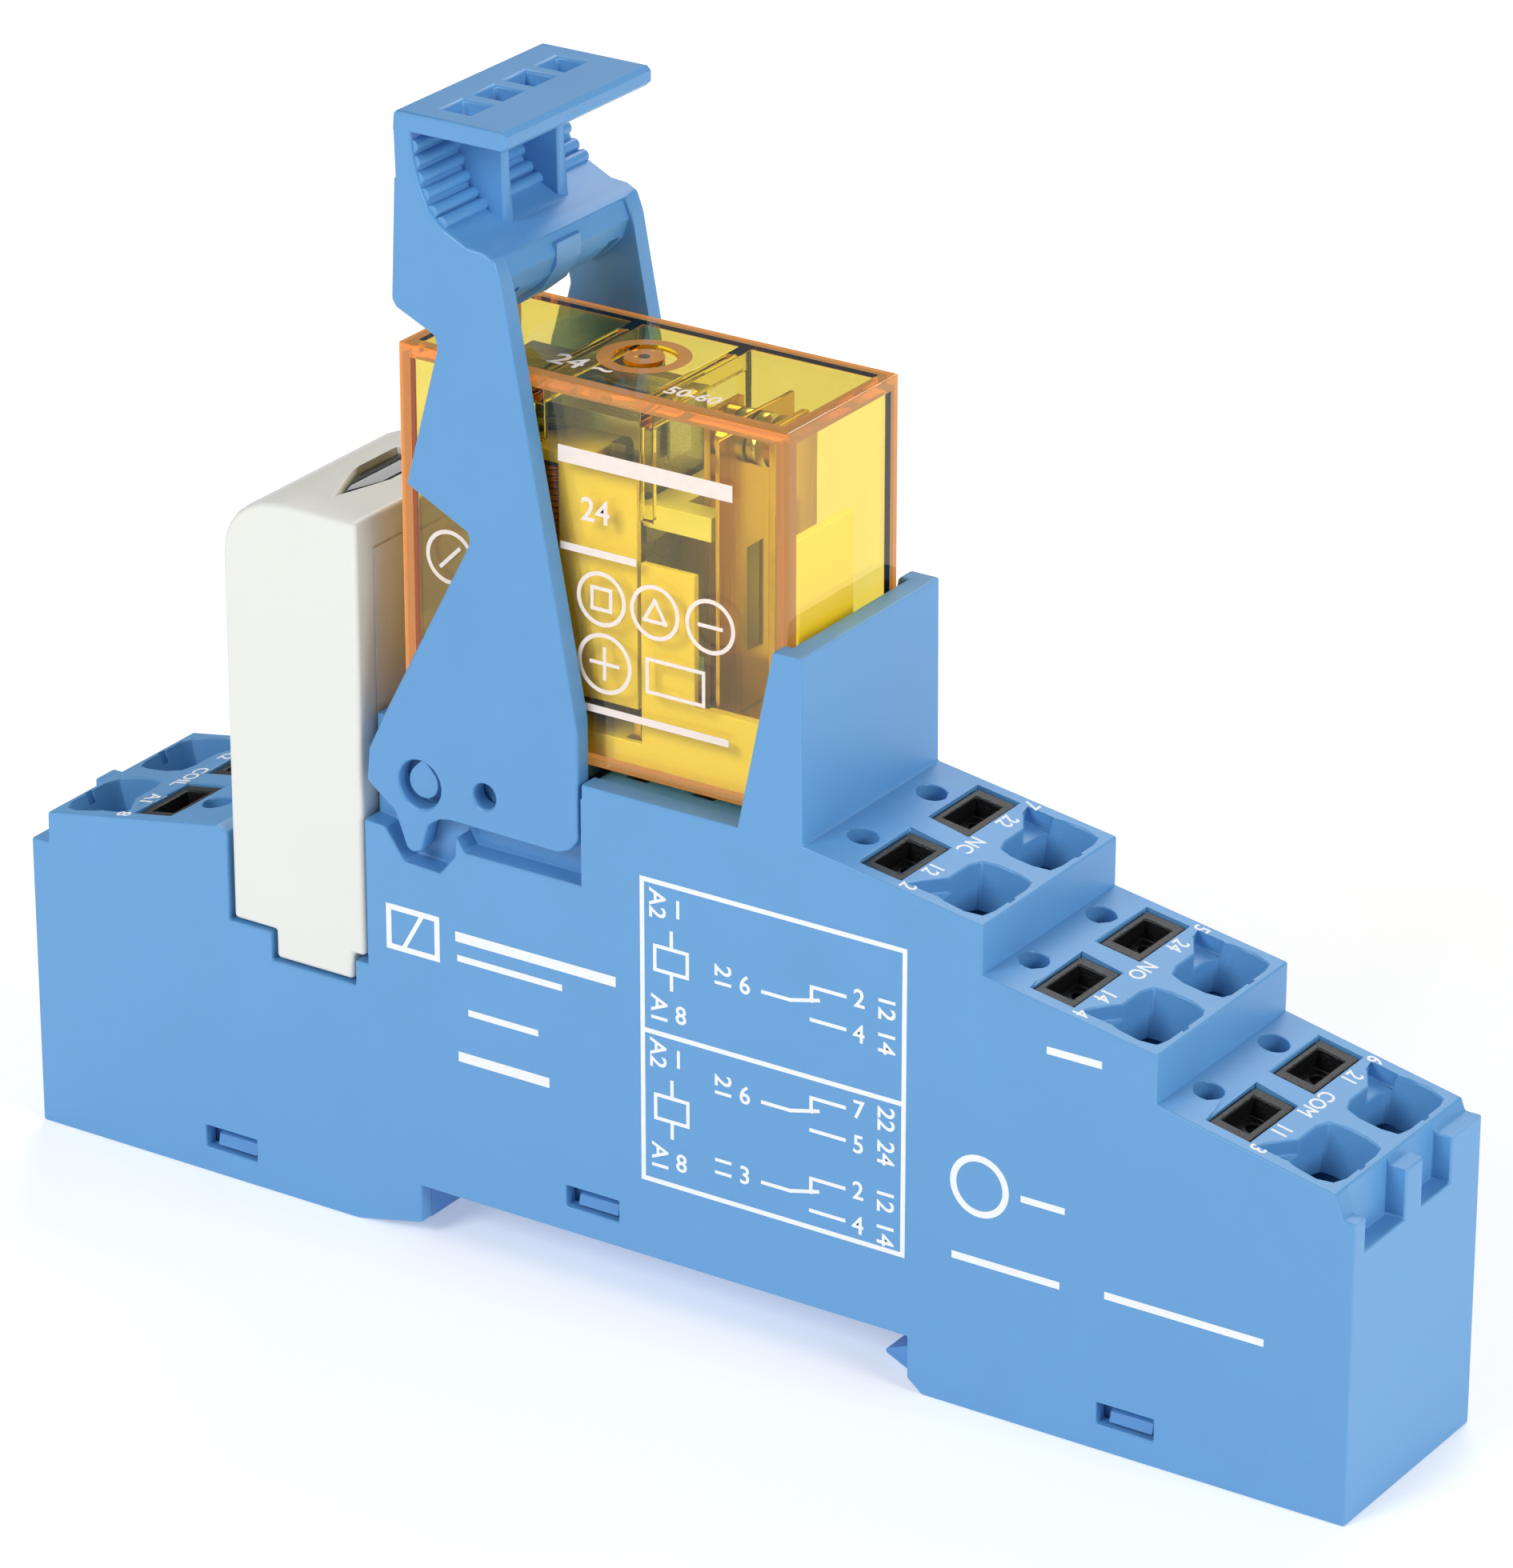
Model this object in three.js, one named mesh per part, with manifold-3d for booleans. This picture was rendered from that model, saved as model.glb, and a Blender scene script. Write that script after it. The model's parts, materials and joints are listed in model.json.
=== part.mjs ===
// Plug-in interface relay: a rail socket with push-in terminals, a clear-cased relay held by a
// swinging retaining clip, and a plug-in indicator module. Millimetres, +Z up.
// The pieces are drawn from the socket's left end (x), its front face (y) and its base (z).
// The last group moves them so that the origin is the centre of the base.
import * as THREE from 'three';
import { mergeVertices } from 'three/addons/utils/BufferGeometryUtils.js';
import Module from 'manifold-3d';

const wasm = await Module();
wasm.setup();

// ---------------------------------------------------------------- driving dimensions
const LENGTH = 100.2;
const WIDTH = 15.8;
const MIDDLE = WIDTH / 2;
const WALL = 1.2;
const GAP = 0.3;

// 35 mm rail notch
const NOTCH = { left: 31.4, right: 68.8, top: 3.8, ramp: 26.2, hook: 1.1 };

// terminal decks: each slopes from its high end down to its low end
const DECKS = [
  { name: 'a', terminals: ['a1', 'a2'], high: [15.5, 25.6], low: [1.45, 23.1] },
  { name: 'nc', terminals: ['12', '22'], high: [60.9, 35.5], low: [74.0, 33.5] },
  { name: 'no', terminals: ['14', '24'], high: [74.0, 30.2], low: [86.4, 28.1] },
  { name: 'com', terminals: ['11', '21'], high: [86.4, 24.8], low: [98.8, 22.2] },
];
const CELL = 3.95;
const PROBE = { along: 11.3, radius: 1.0, depth: 6 };
const BUTTON = { from: 6.7, to: 9.6, width: 5.7, length: 6.8, sink: 0.15, well: 9 };
const BUTTON_PLAY = 0.15;
const FUNNEL = { from: 0.45, to: 4.65, width: 6.3, depth: 5, shrink: 0.75, throat: 9 };
const DECK_THICKNESS = 3.2;

// relay socket, relay and retaining clip
const SEAT = { left: 28.0, right: 59.3, floor: 35.3, cheek: 1.4 };
const END_WALL = { cheek: 58.7, outer: 60.8, top: 47.9 };
const RELAY = { x: 29.75, y: 1.7, z: 36.15, length: 29, depth: 12.4, height: 25.4, wall: 0.9 };
const PIN = { coil: 1.75, nc: 16.75, com: 21.75, no: 26.75, spread: 3.75, below: 3.6 };
const PIVOT = { x: 31.9, z: 32.5, hole: 1.65, boss: 1.15, tip: 1.5, sunk: 0.5 };
const ARM = 1.4;
const RECESS = { depth: 1.6, right: 44.4 };

// indicator module and its slot
const SLOT = { left: 16.3, step: 19.7, right: 27.5, upper: 19.0, lower: 17.0, wallTop: 35.9 };
const MODULE = { left: 16.6, right: 27.2, top: 49.2, wall: 1.1, shoulder: 4.2, side: 0.15 };

// ---------------------------------------------------------------- geometry helpers
function solid(geometry, matrix) {
  const bare = geometry.clone();
  bare.deleteAttribute('normal');
  bare.deleteAttribute('uv');
  if (matrix) bare.applyMatrix4(matrix);
  const merged = mergeVertices(bare, 1e-5);
  return new wasm.Manifold(new wasm.Mesh({
    numProp: 3,
    vertProperties: new Float32Array(merged.attributes.position.array),
    triVerts: new Uint32Array(merged.index.array),
  }));
}

function join(first, ...others) {
  return others.reduce((sum, next) => sum.add(next), first);
}

function cut(body, ...tools) {
  return tools.reduce((rest, tool) => rest.subtract(tool), body);
}

function geometryOf(manifold) {
  const mesh = manifold.getMesh();
  const geometry = new THREE.BufferGeometry();
  geometry.setAttribute('position', new THREE.BufferAttribute(mesh.vertProperties, 3));
  geometry.setIndex(new THREE.BufferAttribute(mesh.triVerts, 1));
  geometry.computeVertexNormals();
  return geometry;
}

// a box between two values on each axis
function box([x0, x1], [y0, y1], [z0, z1]) {
  const geometry = new THREE.BoxGeometry(x1 - x0, y1 - y0, z1 - z0);
  return geometry.translate((x0 + x1) / 2, (y0 + y1) / 2, (z0 + z1) / 2);
}

// an outline drawn in x and z, extruded from y0 to y1
function profile(outline, [y0, y1]) {
  const shape = new THREE.Shape(outline.map(([x, z]) => new THREE.Vector2(x, z)));
  const geometry = new THREE.ExtrudeGeometry(shape, { depth: y1 - y0, bevelEnabled: false });
  return geometry.rotateX(Math.PI / 2).translate(0, y1, 0);
}

// a cylinder across the width
function crossPin(x, z, radius, [y0, y1], sides = 20) {
  const geometry = new THREE.CylinderGeometry(radius, radius, y1 - y0, sides);
  return geometry.translate(x, (y0 + y1) / 2, z);
}

// an outline drawn in x and y, extruded upwards
function slab(outline, [z0, z1]) {
  const shape = new THREE.Shape(outline.map(([x, y]) => new THREE.Vector2(x, y)));
  return new THREE.ExtrudeGeometry(shape, { depth: z1 - z0, bevelEnabled: false }).translate(0, 0, z0);
}

// an upright cylinder
function post(x, y, radius, [z0, z1], sides = 20) {
  const geometry = new THREE.CylinderGeometry(radius, radius, z1 - z0, sides);
  return geometry.rotateX(Math.PI / 2).translate(x, y, (z0 + z1) / 2);
}

// a cylinder along x
function stud(y, z, radius, [x0, x1], sides = 16) {
  const geometry = new THREE.CylinderGeometry(radius, radius, x1 - x0, sides);
  return geometry.rotateZ(Math.PI / 2).translate((x0 + x1) / 2, y, z);
}

// the outline of a bent strip of even thickness that follows a line of points
function stripOutline(points, thickness) {
  const sides = [[], []];
  points.forEach((point, i) => {
    const before = points[Math.max(i - 1, 0)];
    const after = points[Math.min(i + 1, points.length - 1)];
    const turn = Math.hypot(after[0] - before[0], after[1] - before[1]);
    const normal = [-(after[1] - before[1]) / turn, (after[0] - before[0]) / turn];
    sides.forEach((side, s) => {
      const shift = (s ? -1 : 1) * thickness / 2;
      side.push([point[0] + normal[0] * shift, point[1] + normal[1] * shift]);
    });
  });
  return [...sides[0], ...sides[1].reverse()];
}

// points on an arc, angles in degrees
function arc(cx, cz, radius, from, to, steps) {
  return Array.from({ length: steps + 1 }, (_, i) => {
    const angle = THREE.MathUtils.degToRad(from + (to - from) * i / steps);
    return [cx + radius * Math.cos(angle), cz + radius * Math.sin(angle)];
  });
}

// the same cut or rib on the front and on the back of the width
function bothSides(make, [y0, y1]) {
  return [make([y0, y1]), make([WIDTH - y1, WIDTH - y0])];
}

// ---------------------------------------------------------------- materials
function plastic(colour, roughness = 0.5) {
  return new THREE.MeshStandardMaterial({ color: colour, roughness, metalness: 0 });
}

function metal(colour, roughness = 0.3) {
  return new THREE.MeshStandardMaterial({ color: colour, roughness, metalness: 1 });
}

function amberPlastic() {
  const material = plastic(0xf2a31b, 0.1);
  material.transparent = true;
  material.opacity = 0.45;
  return material;
}

const BLUE = 0x6fa6db;
const PALE_BLUE = 0x66a0d6;
const OFF_WHITE = 0xe6e7e1;
const BLACK = 0x1b1b1c;
const SMOKE = 0x8d8a84;
const STRAW = 0xe8d98a;
const BOARD_GREEN = 0x2f6b45;
const LAMP_GREEN = 0x8fd07a;
const COPPER = 0xb5713c;
const TINNED = 0xc9c9c6;
const SPRING_STEEL = 0xb4b6b8;
const SOFT_IRON = 0x8f9092;
const BRASS = 0xcaa45a;

const assembly = new THREE.Group();

function addPiece(name, shape, material, parent = assembly) {
  const geometry = shape.isBufferGeometry ? shape : geometryOf(shape);
  const mesh = new THREE.Mesh(geometry, material);
  mesh.name = name;
  parent.add(mesh);
  return mesh;
}

// ---------------------------------------------------------------- terminal decks
// Each deck has a frame of its own: x runs up the slope from the low end, y is across the
// socket from its middle plane, and z stands out of the deck.
function deckMatrix({ high, low }) {
  const up = new THREE.Vector3(high[0] - low[0], 0, high[1] - low[1]).normalize();
  const out = new THREE.Vector3(-up.z, 0, up.x).multiplyScalar(Math.sign(up.x));
  const across = new THREE.Vector3().crossVectors(out, up);
  return new THREE.Matrix4().makeBasis(up, across, out).setPosition(low[0], MIDDLE, low[1]);
}

DECKS.forEach((deck) => {
  deck.matrix = deckMatrix(deck);
  // the cell nearer the front face lies on this side of the deck's middle
  deck.front = deck.high[0] > deck.low[0] ? -1 : 1;
});

function roundedRectangle(x0, x1, halfWidth, radius) {
  const shape = new THREE.Shape();
  shape.moveTo(x0 + radius, -halfWidth);
  shape.lineTo(x1 - radius, -halfWidth);
  shape.quadraticCurveTo(x1, -halfWidth, x1, -halfWidth + radius);
  shape.lineTo(x1, halfWidth - radius);
  shape.quadraticCurveTo(x1, halfWidth, x1 - radius, halfWidth);
  shape.lineTo(x0 + radius, halfWidth);
  shape.quadraticCurveTo(x0, halfWidth, x0, halfWidth - radius);
  shape.lineTo(x0, -halfWidth + radius);
  shape.quadraticCurveTo(x0, -halfWidth, x0 + radius, -halfWidth);
  return shape;
}

// the wire entry: a mouth that narrows to a throat, with a shallow wing towards the button
function wireEntryTools(deck, y) {
  const outer = Math.sign(y);
  const mouth = new THREE.ExtrudeGeometry(
    roundedRectangle(FUNNEL.from + FUNNEL.shrink, FUNNEL.to - FUNNEL.shrink,
      FUNNEL.width / 2 - FUNNEL.shrink, 0.7),
    {
      depth: 1, curveSegments: 2, bevelSegments: 1,
      bevelThickness: FUNNEL.depth, bevelSize: FUNNEL.shrink,
    },
  ).translate(0, y, 0);
  const throat = new THREE.ExtrudeGeometry(
    roundedRectangle(FUNNEL.from + FUNNEL.shrink, FUNNEL.to - FUNNEL.shrink, 2.0, 0.6),
    { depth: FUNNEL.throat, curveSegments: 2, bevelEnabled: false },
  ).translate(0, y, -FUNNEL.throat);
  const wing = new THREE.Shape([
    new THREE.Vector2(FUNNEL.to - 0.6, y + outer * 3.0),
    new THREE.Vector2(FUNNEL.to + 1.5, y + outer * 3.0),
    new THREE.Vector2(FUNNEL.to + 1.0, y + outer * 2.0),
    new THREE.Vector2(FUNNEL.to - 0.6, y - outer * 0.6),
  ]);
  const wingCut = new THREE.ExtrudeGeometry(wing, { depth: 3, bevelEnabled: false });
  const nub = box([FUNNEL.from - 0.15, FUNNEL.from + 0.4], [y - 0.35, y + 0.35], [-0.9, 1]);
  return [
    solid(mouth, deck.matrix),
    solid(throat, deck.matrix),
    solid(wingCut.translate(0, 0, -1.1), deck.matrix),
    solid(nub, deck.matrix),
  ];
}

function buttonWellTool(deck, y) {
  const half = BUTTON.width / 2 + BUTTON_PLAY;
  const along = [BUTTON.from - BUTTON_PLAY, BUTTON.to + BUTTON_PLAY];
  return solid(box(along, [y - half, y + half], [-BUTTON.well, 1]), deck.matrix);
}

function probeHoleTool(deck, y) {
  return solid(post(PROBE.along, y, PROBE.radius, [-PROBE.depth, 1], 16), deck.matrix);
}

function deckTools(deck) {
  return [-CELL, CELL].flatMap((y) => [
    ...wireEntryTools(deck, y),
    buttonWellTool(deck, y),
    probeHoleTool(deck, y),
  ]);
}

// ---------------------------------------------------------------- housing
function housingOutline() {
  const [leftDeck, ncDeck, noDeck, comDeck] = DECKS;
  return [
    [0, 0], [NOTCH.ramp, 0], [NOTCH.left, NOTCH.hook], [NOTCH.left, NOTCH.top],
    [NOTCH.right, NOTCH.top], [NOTCH.right, 0.9], [NOTCH.right + 1.1, 0],
    [LENGTH, 0], [LENGTH, 18.3], comDeck.low, comDeck.high, noDeck.low, noDeck.high,
    ncDeck.low, ncDeck.high, [END_WALL.outer, END_WALL.top],
    [END_WALL.cheek, END_WALL.top], [56.1, 35.6], [RECESS.right + 0.1, 35.6],
    [RECESS.right + 0.1, 34.6],
    [SEAT.left + 1.6, 34.6], [SEAT.left + 1.4, SLOT.wallTop], [SLOT.right, SLOT.wallTop],
    [SLOT.right, 18.8], [26.5, 18.8], [26.5, SLOT.lower], [SLOT.step, SLOT.lower],
    [SLOT.step, SLOT.upper], [SLOT.left, SLOT.upper], [SLOT.left, 25.2],
    leftDeck.high, leftDeck.low, [1.4, 20.9], [0, 20.9],
  ];
}

// the pockets behind the walls, open at the base; their ceiling follows the decks
function pocketOutline() {
  const ceiling = (point) => [point[0], point[1] - DECK_THICKNESS];
  const [leftDeck, ncDeck, noDeck, comDeck] = DECKS;
  const below = -1;
  return [
    [WALL, below], [WALL, 18], [2.7, 18], [2.7, ceiling(leftDeck.low)[1]],
    [SLOT.left - 1.3, ceiling(leftDeck.high)[1]], [SLOT.left - 1.3, 15.7], [28.8, 15.7],
    [28.8, 25.4], [45.2, 25.4], [45.2, 29.5], [62.2, 29.5], [62.2, ceiling(ncDeck.high)[1]],
    [ncDeck.low[0] - 1.3, ceiling(ncDeck.low)[1]],
    [ncDeck.low[0] - 1.3, ceiling(noDeck.high)[1]],
    [noDeck.low[0] - 1.3, ceiling(noDeck.low)[1]],
    [noDeck.low[0] - 1.3, ceiling(comDeck.high)[1]],
    [comDeck.low[0] - 1.2, ceiling(comDeck.low)[1]], [comDeck.low[0] - 1.2, 17],
    [LENGTH - WALL, 17], [LENGTH - WALL, below],
  ];
}

// recess in each side face that the clip's arms swing in
function recessOutline() {
  return [
    [SLOT.right - 0.5, 29.1], [29.1, 28.9], [30.6, 26.8], [33.4, 26.7], [34.6, 28.2],
    [34.7, 29.6], [35.3, 28.6], [RECESS.right, 28.6], [RECESS.right, 40], [SLOT.right - 0.5, 40],
  ];
}

// the drop-shaped pivot boss of the retaining clip
function pivotBoss(ends) {
  const drop = [
    ...arc(PIVOT.x, PIVOT.z, PIVOT.boss, 130, 410, 18),
    [PIVOT.x + 0.08, PIVOT.z + PIVOT.tip],
    [PIVOT.x - 0.08, PIVOT.z + PIVOT.tip],
  ];
  return solid(profile(drop, ends));
}

const SNAP_WINDOWS = [
  { x: [13.8, 18.0], z: [1.8, 3.4] },
  { x: [42.9, 47.0], z: [5.6, 7.1] },
  { x: [82.6, 86.7], z: [1.8, 3.3] },
];

const PIN_ROWS = ['coil', 'nc', 'com', 'no'].map((row) => RELAY.x + PIN[row]);

function pinPlaces() {
  return PIN_ROWS.flatMap((x) => [-PIN.spread, PIN.spread].map((y) => [x, MIDDLE + y]));
}

function housing() {
  const shell = solid(profile(housingOutline(), [0, WIDTH]));
  const inner = [WALL, MIDDLE - 0.6];
  const pockets = bothSides((ends) => solid(profile(pocketOutline(), ends)), inner);
  const coverBay = solid(box([NOTCH.left - 2, NOTCH.right + 2], [WALL, WIDTH - WALL], [-1, 5.5]));
  const leftBay = solid(box([WALL, NOTCH.left - 1.9], [WALL, WIDTH - WALL], [-1, 2.0]));
  const rightBay = solid(box([NOTCH.right + 0.5, LENGTH - WALL], [WALL, WIDTH - WALL], [-1, 4.2]));
  const recesses = bothSides((ends) => solid(profile(recessOutline(), ends)), [-1, RECESS.depth]);
  const seat = solid(box([SEAT.left + 1.5, SEAT.right], [SEAT.cheek, WIDTH - SEAT.cheek],
    [SEAT.floor, 60]));
  const crossbarBay = solid(box([38.6, RECESS.right], [-1, WIDTH + 1], [33.6, 60]));
  const windows = SNAP_WINDOWS.flatMap(({ x, z }) =>
    bothSides((ends) => solid(box(x, ends, z)), [-1, WALL + 0.1]));
  const pinHoles = pinPlaces().map(([x, y]) =>
    solid(box([x - 0.8, x + 0.8], [y - 1.0, y + 1.0], [24, 40])));
  const tulipBays = pinPlaces().map(([x, y]) =>
    solid(box([x - 1.7, x + 1.7], [y - 1.45, y + 1.45], [24, 33.9])));
  const modulePinHoles = [-PIN.spread, PIN.spread].map((y) =>
    solid(box([22.4, 24.0], [MIDDLE + y - 1.4, MIDDLE + y + 1.4], [14, 19])));
  const endPockets = [[1.4, 6.3], [8.4, 12.0]].map((ends) =>
    solid(box([98.8, LENGTH + 1], ends, [18.3, 30])));
  const body = cut(shell, ...pockets, coverBay, leftBay, rightBay, ...recesses, seat, crossbarBay,
    ...windows, ...pinHoles, ...tulipBays, ...modulePinHoles,
    ...DECKS.flatMap(deckTools));
  const lugs = [
    solid(box([98.2, LENGTH], [0, 1.4], [18.0, 20.6])),
    solid(box([98.2, LENGTH], [6.3, 8.4], [18.0, 21.6])),
    solid(box([98.2, LENGTH], [12.0, WIDTH], [18.0, 21.4])),
    solid(box([0, 2.0], [6.9, 8.9], [20.5, 22.6])),
  ];
  const bosses = bothSides(pivotBoss, [PIVOT.sunk, RECESS.depth + 1]);
  return cut(join(body, ...lugs, ...bosses), ...endPockets);
}

addPiece('housing', housing(), plastic(BLUE));

// ---------------------------------------------------------------- base cover
function coverOutline() {
  const floor = 1.1;
  const upper = NOTCH.top + floor;
  const inset = 0.2;
  return [
    [WALL + GAP, 0], [NOTCH.ramp, 0], [NOTCH.left - inset, NOTCH.hook - inset],
    [NOTCH.left - inset, NOTCH.top], [NOTCH.right + inset, NOTCH.top],
    [NOTCH.right + inset, 0.9], [NOTCH.right + 1.3, 0], [LENGTH - WALL - GAP, 0],
    [LENGTH - WALL - GAP, floor], [NOTCH.right + 1.4, floor], [NOTCH.right + 1.4, upper],
    [NOTCH.left - 1.6, upper], [NOTCH.left - 1.6, floor + 0.6], [NOTCH.ramp - 0.5, floor],
    [WALL + GAP, floor],
  ];
}

// a tab that stands on the cover's floor, with a sloped catch in the window
function snapTab({ x, z }, side) {
  const tabX = [x[0] - 0.6, x[1] + 0.6];
  const wallFace = WALL + 0.2;
  const tab = box(tabX, [wallFace, wallFace + 1], [z[0] - 1.4, z[1] + 0.4]);
  const catchShape = new THREE.Shape([
    new THREE.Vector2(wallFace + 0.3, z[0] + 0.2),
    new THREE.Vector2(0.35, z[0] + 0.2),
    new THREE.Vector2(0.55, z[1] - 0.6),
    new THREE.Vector2(wallFace + 0.3, z[1] - 0.2),
  ]);
  const catchLength = x[1] - x[0] - 1.0;
  const nose = new THREE.ExtrudeGeometry(catchShape, { depth: catchLength, bevelEnabled: false });
  nose.rotateX(Math.PI / 2).rotateZ(Math.PI / 2).translate(x[0] + 0.75, 0, 0);
  const parts = [tab, nose];
  if (side > 0) {
    const turn = new THREE.Matrix4().makeRotationZ(Math.PI);
    turn.setPosition(x[0] + x[1], WIDTH, 0);
    parts.forEach((part) => part.applyMatrix4(turn));
  }
  return parts.map((part) => solid(part));
}

const LATCH = { tip: [65.9, 1.1], end: 79.5, heel: 0.2, floor: 1.5, top: 3.4, y: [2.1, WIDTH - 2.1] };

function baseCover() {
  const tray = solid(profile(coverOutline(), [WALL + 0.2, WIDTH - WALL - 0.2]));
  const latchDoor = solid(box([NOTCH.right - 1, NOTCH.right + 2],
    [LATCH.y[0] - 0.2, LATCH.y[1] + 0.2], [-1, NOTCH.top]));
  const springStop = solid(box([85.0, 86.2], [5.5, 10.3], [0.5, 4.0]));
  const tabs = SNAP_WINDOWS.flatMap((window) => [-1, 1].flatMap((side) => snapTab(window, side)));
  return cut(join(tray, springStop, ...tabs), latchDoor);
}

addPiece('base_cover', baseCover(), plastic(PALE_BLUE));

// ---------------------------------------------------------------- rail latch and its spring
// a tongue that slides on the cover's floor, with the beak that hooks under the rail
function railLatch() {
  const { end, heel, floor, top } = LATCH;
  const [tipX, tipZ] = LATCH.tip;
  const outline = [
    [tipX, tipZ], [tipX + 0.2, tipZ + 0.2], [NOTCH.right - 0.5, tipZ + 1.0],
    [NOTCH.right - 0.2, top], [end, top], [end, floor], [NOTCH.right + 0.1, floor],
    [NOTCH.right - 0.6, heel], [NOTCH.right - 1.3, heel], [tipX + 0.1, tipZ - 0.2],
  ];
  const tongue = solid(profile(outline, LATCH.y));
  const release = solid(box([75.5, 77.5], [4.5, WIDTH - 4.5], [floor - 1, top + 1]));
  const spigot = solid(stud(MIDDLE, 2.5, 0.55, [LATCH.end - 0.5, LATCH.end + 1.4], 10));
  return join(cut(tongue, release), spigot);
}

class SpringCurve extends THREE.Curve {
  constructor(length, radius, turns) {
    super();
    Object.assign(this, { length, radius, turns });
  }

  getPoint(t, target = new THREE.Vector3()) {
    const angle = 2 * Math.PI * this.turns * t;
    return target.set(this.length * t, this.radius * Math.cos(angle), this.radius * Math.sin(angle));
  }
}

function wireSection(radius, sides) {
  return new THREE.Shape(Array.from({ length: sides }, (_, i) => {
    const angle = 2 * Math.PI * i / sides;
    return new THREE.Vector2(radius * Math.cos(angle), radius * Math.sin(angle));
  }));
}

function coilSpring(length, radius, wire, turns) {
  return new THREE.ExtrudeGeometry(wireSection(wire, 6), {
    steps: turns * 10,
    extrudePath: new SpringCurve(length, radius, turns),
    bevelEnabled: false,
  });
}

addPiece('rail_latch', railLatch(), plastic(PALE_BLUE));
const latchSpring = addPiece('rail_latch_spring', solid(coilSpring(4.4, 0.95, 0.16, 5)),
  metal(SPRING_STEEL));
latchSpring.position.set(LATCH.end + 0.35, MIDDLE, 2.5);

// ---------------------------------------------------------------- push buttons and clamp springs
function pushButton() {
  const half = BUTTON.width / 2;
  const along = [BUTTON.from, BUTTON.to];
  const head = solid(box(along, [-half, half], [-BUTTON.length, -BUTTON.sink]));
  const driverSlot = solid(box([BUTTON.from + 0.55, BUTTON.to - 0.45], [-half + 0.9, half - 0.9],
    [-1.6, 1]));
  const dimple = solid(post(8.1, -half + 1.9, 0.6, [-2.0, 1], 12));
  const footRelief = solid(box([BUTTON.from - 1, BUTTON.from + 1.3], [-half - 1, half + 1],
    [-BUTTON.length - 1, -BUTTON.length + 2.8]));
  return cut(head, driverSlot, dimple, footRelief);
}

// a leaf bent into a loop: one leg lies on the current bar, the other clamps the wire
const CLAMP_LINE = [
  [4.6, -9.9], [9.3, -9.9], [10.1, -9.6], [10.5, -8.9], [10.3, -8.2], [9.6, -7.8], [8.4, -7.3],
  [5.4, -8.0], [3.4, -9.0],
];

function clampSpring() {
  return solid(profile(stripOutline(CLAMP_LINE, 0.3), [-1.8, 1.8]));
}

DECKS.forEach((deck) => {
  const group = new THREE.Group();
  group.applyMatrix4(deck.matrix);
  assembly.add(group);
  deck.terminals.forEach((terminal, i) => {
    const y = (i ? -1 : 1) * deck.front * CELL;
    const button = addPiece(`push_button_${terminal}`, pushButton(), plastic(BLACK, 0.6), group);
    button.position.set(0, y, 0);
    const spring = addPiece(`clamp_spring_${terminal}`, clampSpring(), metal(SPRING_STEEL), group);
    spring.position.set(0, y, 0);
  });
});

// ---------------------------------------------------------------- current bars
// Each bar is one stamped strip: the wire plate at its terminal, a run in its own plane, and
// a fork under the relay pin.
function terminalPlate(deck, y) {
  const plate = solid(box([1.9, 10.6], [y - 2.0, y + 2.0], [-11.0, -10.4]), deck.matrix);
  const stop = solid(box([1.5, 2.1], [y - 2.0, y + 2.0], [-11.0, -5.6]), deck.matrix);
  return join(plate, stop);
}

function fork(x, y, foot) {
  const tongues = [-1, 1].map((side) =>
    solid(box([x + side * 0.9 - 0.3, x + side * 0.9 + 0.3], [y - 1.1, y + 1.1], [foot, 33.4])));
  const bridge = solid(box([x - 1.2, x + 1.2], [y - 1.1, y + 1.1], [foot - 0.6, foot + 0.1]));
  return join(bridge, ...tongues);
}

// upright strip from one x and z to another, in the plane y
function runs(y, segments) {
  return segments.map(([x, z]) => solid(box(x, [y - 0.35, y + 0.35], z)));
}

// outward is how far a bar's plane lies from its pin, towards the side face
const CONTACT_ROUTES = {
  nc: { outward: 1.6, run: [22.4, 24.4], end: 66.0, rise: 24.4 },
  no: { outward: 0, run: [15.0, 17.0], end: 79.0, rise: 18.6 },
  com: { outward: -1.6, run: [8.4, 10.4], end: 91.4, rise: 13.4 },
};

function contactBar(deck, index) {
  const route = CONTACT_ROUTES[deck.name];
  const side = index ? 1 : -1;
  const pinY = MIDDLE + side * PIN.spread;
  const pinX = RELAY.x + PIN[deck.name];
  const planeY = pinY + side * route.outward;
  const [low, high] = route.run;
  const segments = [
    [[pinX - 1.0, pinX + 1.0], [low, 29.0]],
    [[pinX - 1.0, route.end], route.run],
    [[route.end - 2.0, route.end], [low, route.rise]],
  ];
  const shelf = solid(box([pinX - 1.0, pinX + 1.0],
    [Math.min(planeY, pinY) - 0.35, Math.max(planeY, pinY) + 0.35], [28.3, 29.0]));
  return join(fork(pinX, pinY, 29.2), shelf, ...runs(planeY, segments),
    terminalPlate(deck, (index ? -1 : 1) * deck.front * CELL));
}

function coilBar(deck, index) {
  const side = index ? 1 : -1;
  const pinY = MIDDLE + side * PIN.spread;
  const pinX = RELAY.x + PIN.coil;
  const segments = [
    [[8.0, 10.0], [9.4, 13.8]],
    [[8.0, pinX + 1.0], [9.4, 11.4]],
    [[pinX - 1.0, pinX + 1.0], [9.4, 29.3]],
  ];
  const modulePinFork = [-1, 1].map((end) =>
    solid(box([23.2 + end * 0.95 - 0.25, 23.2 + end * 0.95 + 0.25], [pinY - 0.9, pinY + 0.9],
      [11.0, 15.0])));
  return join(fork(pinX, pinY, 29.2), ...runs(pinY, segments), ...modulePinFork,
    terminalPlate(deck, (index ? -1 : 1) * deck.front * CELL));
}

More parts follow.
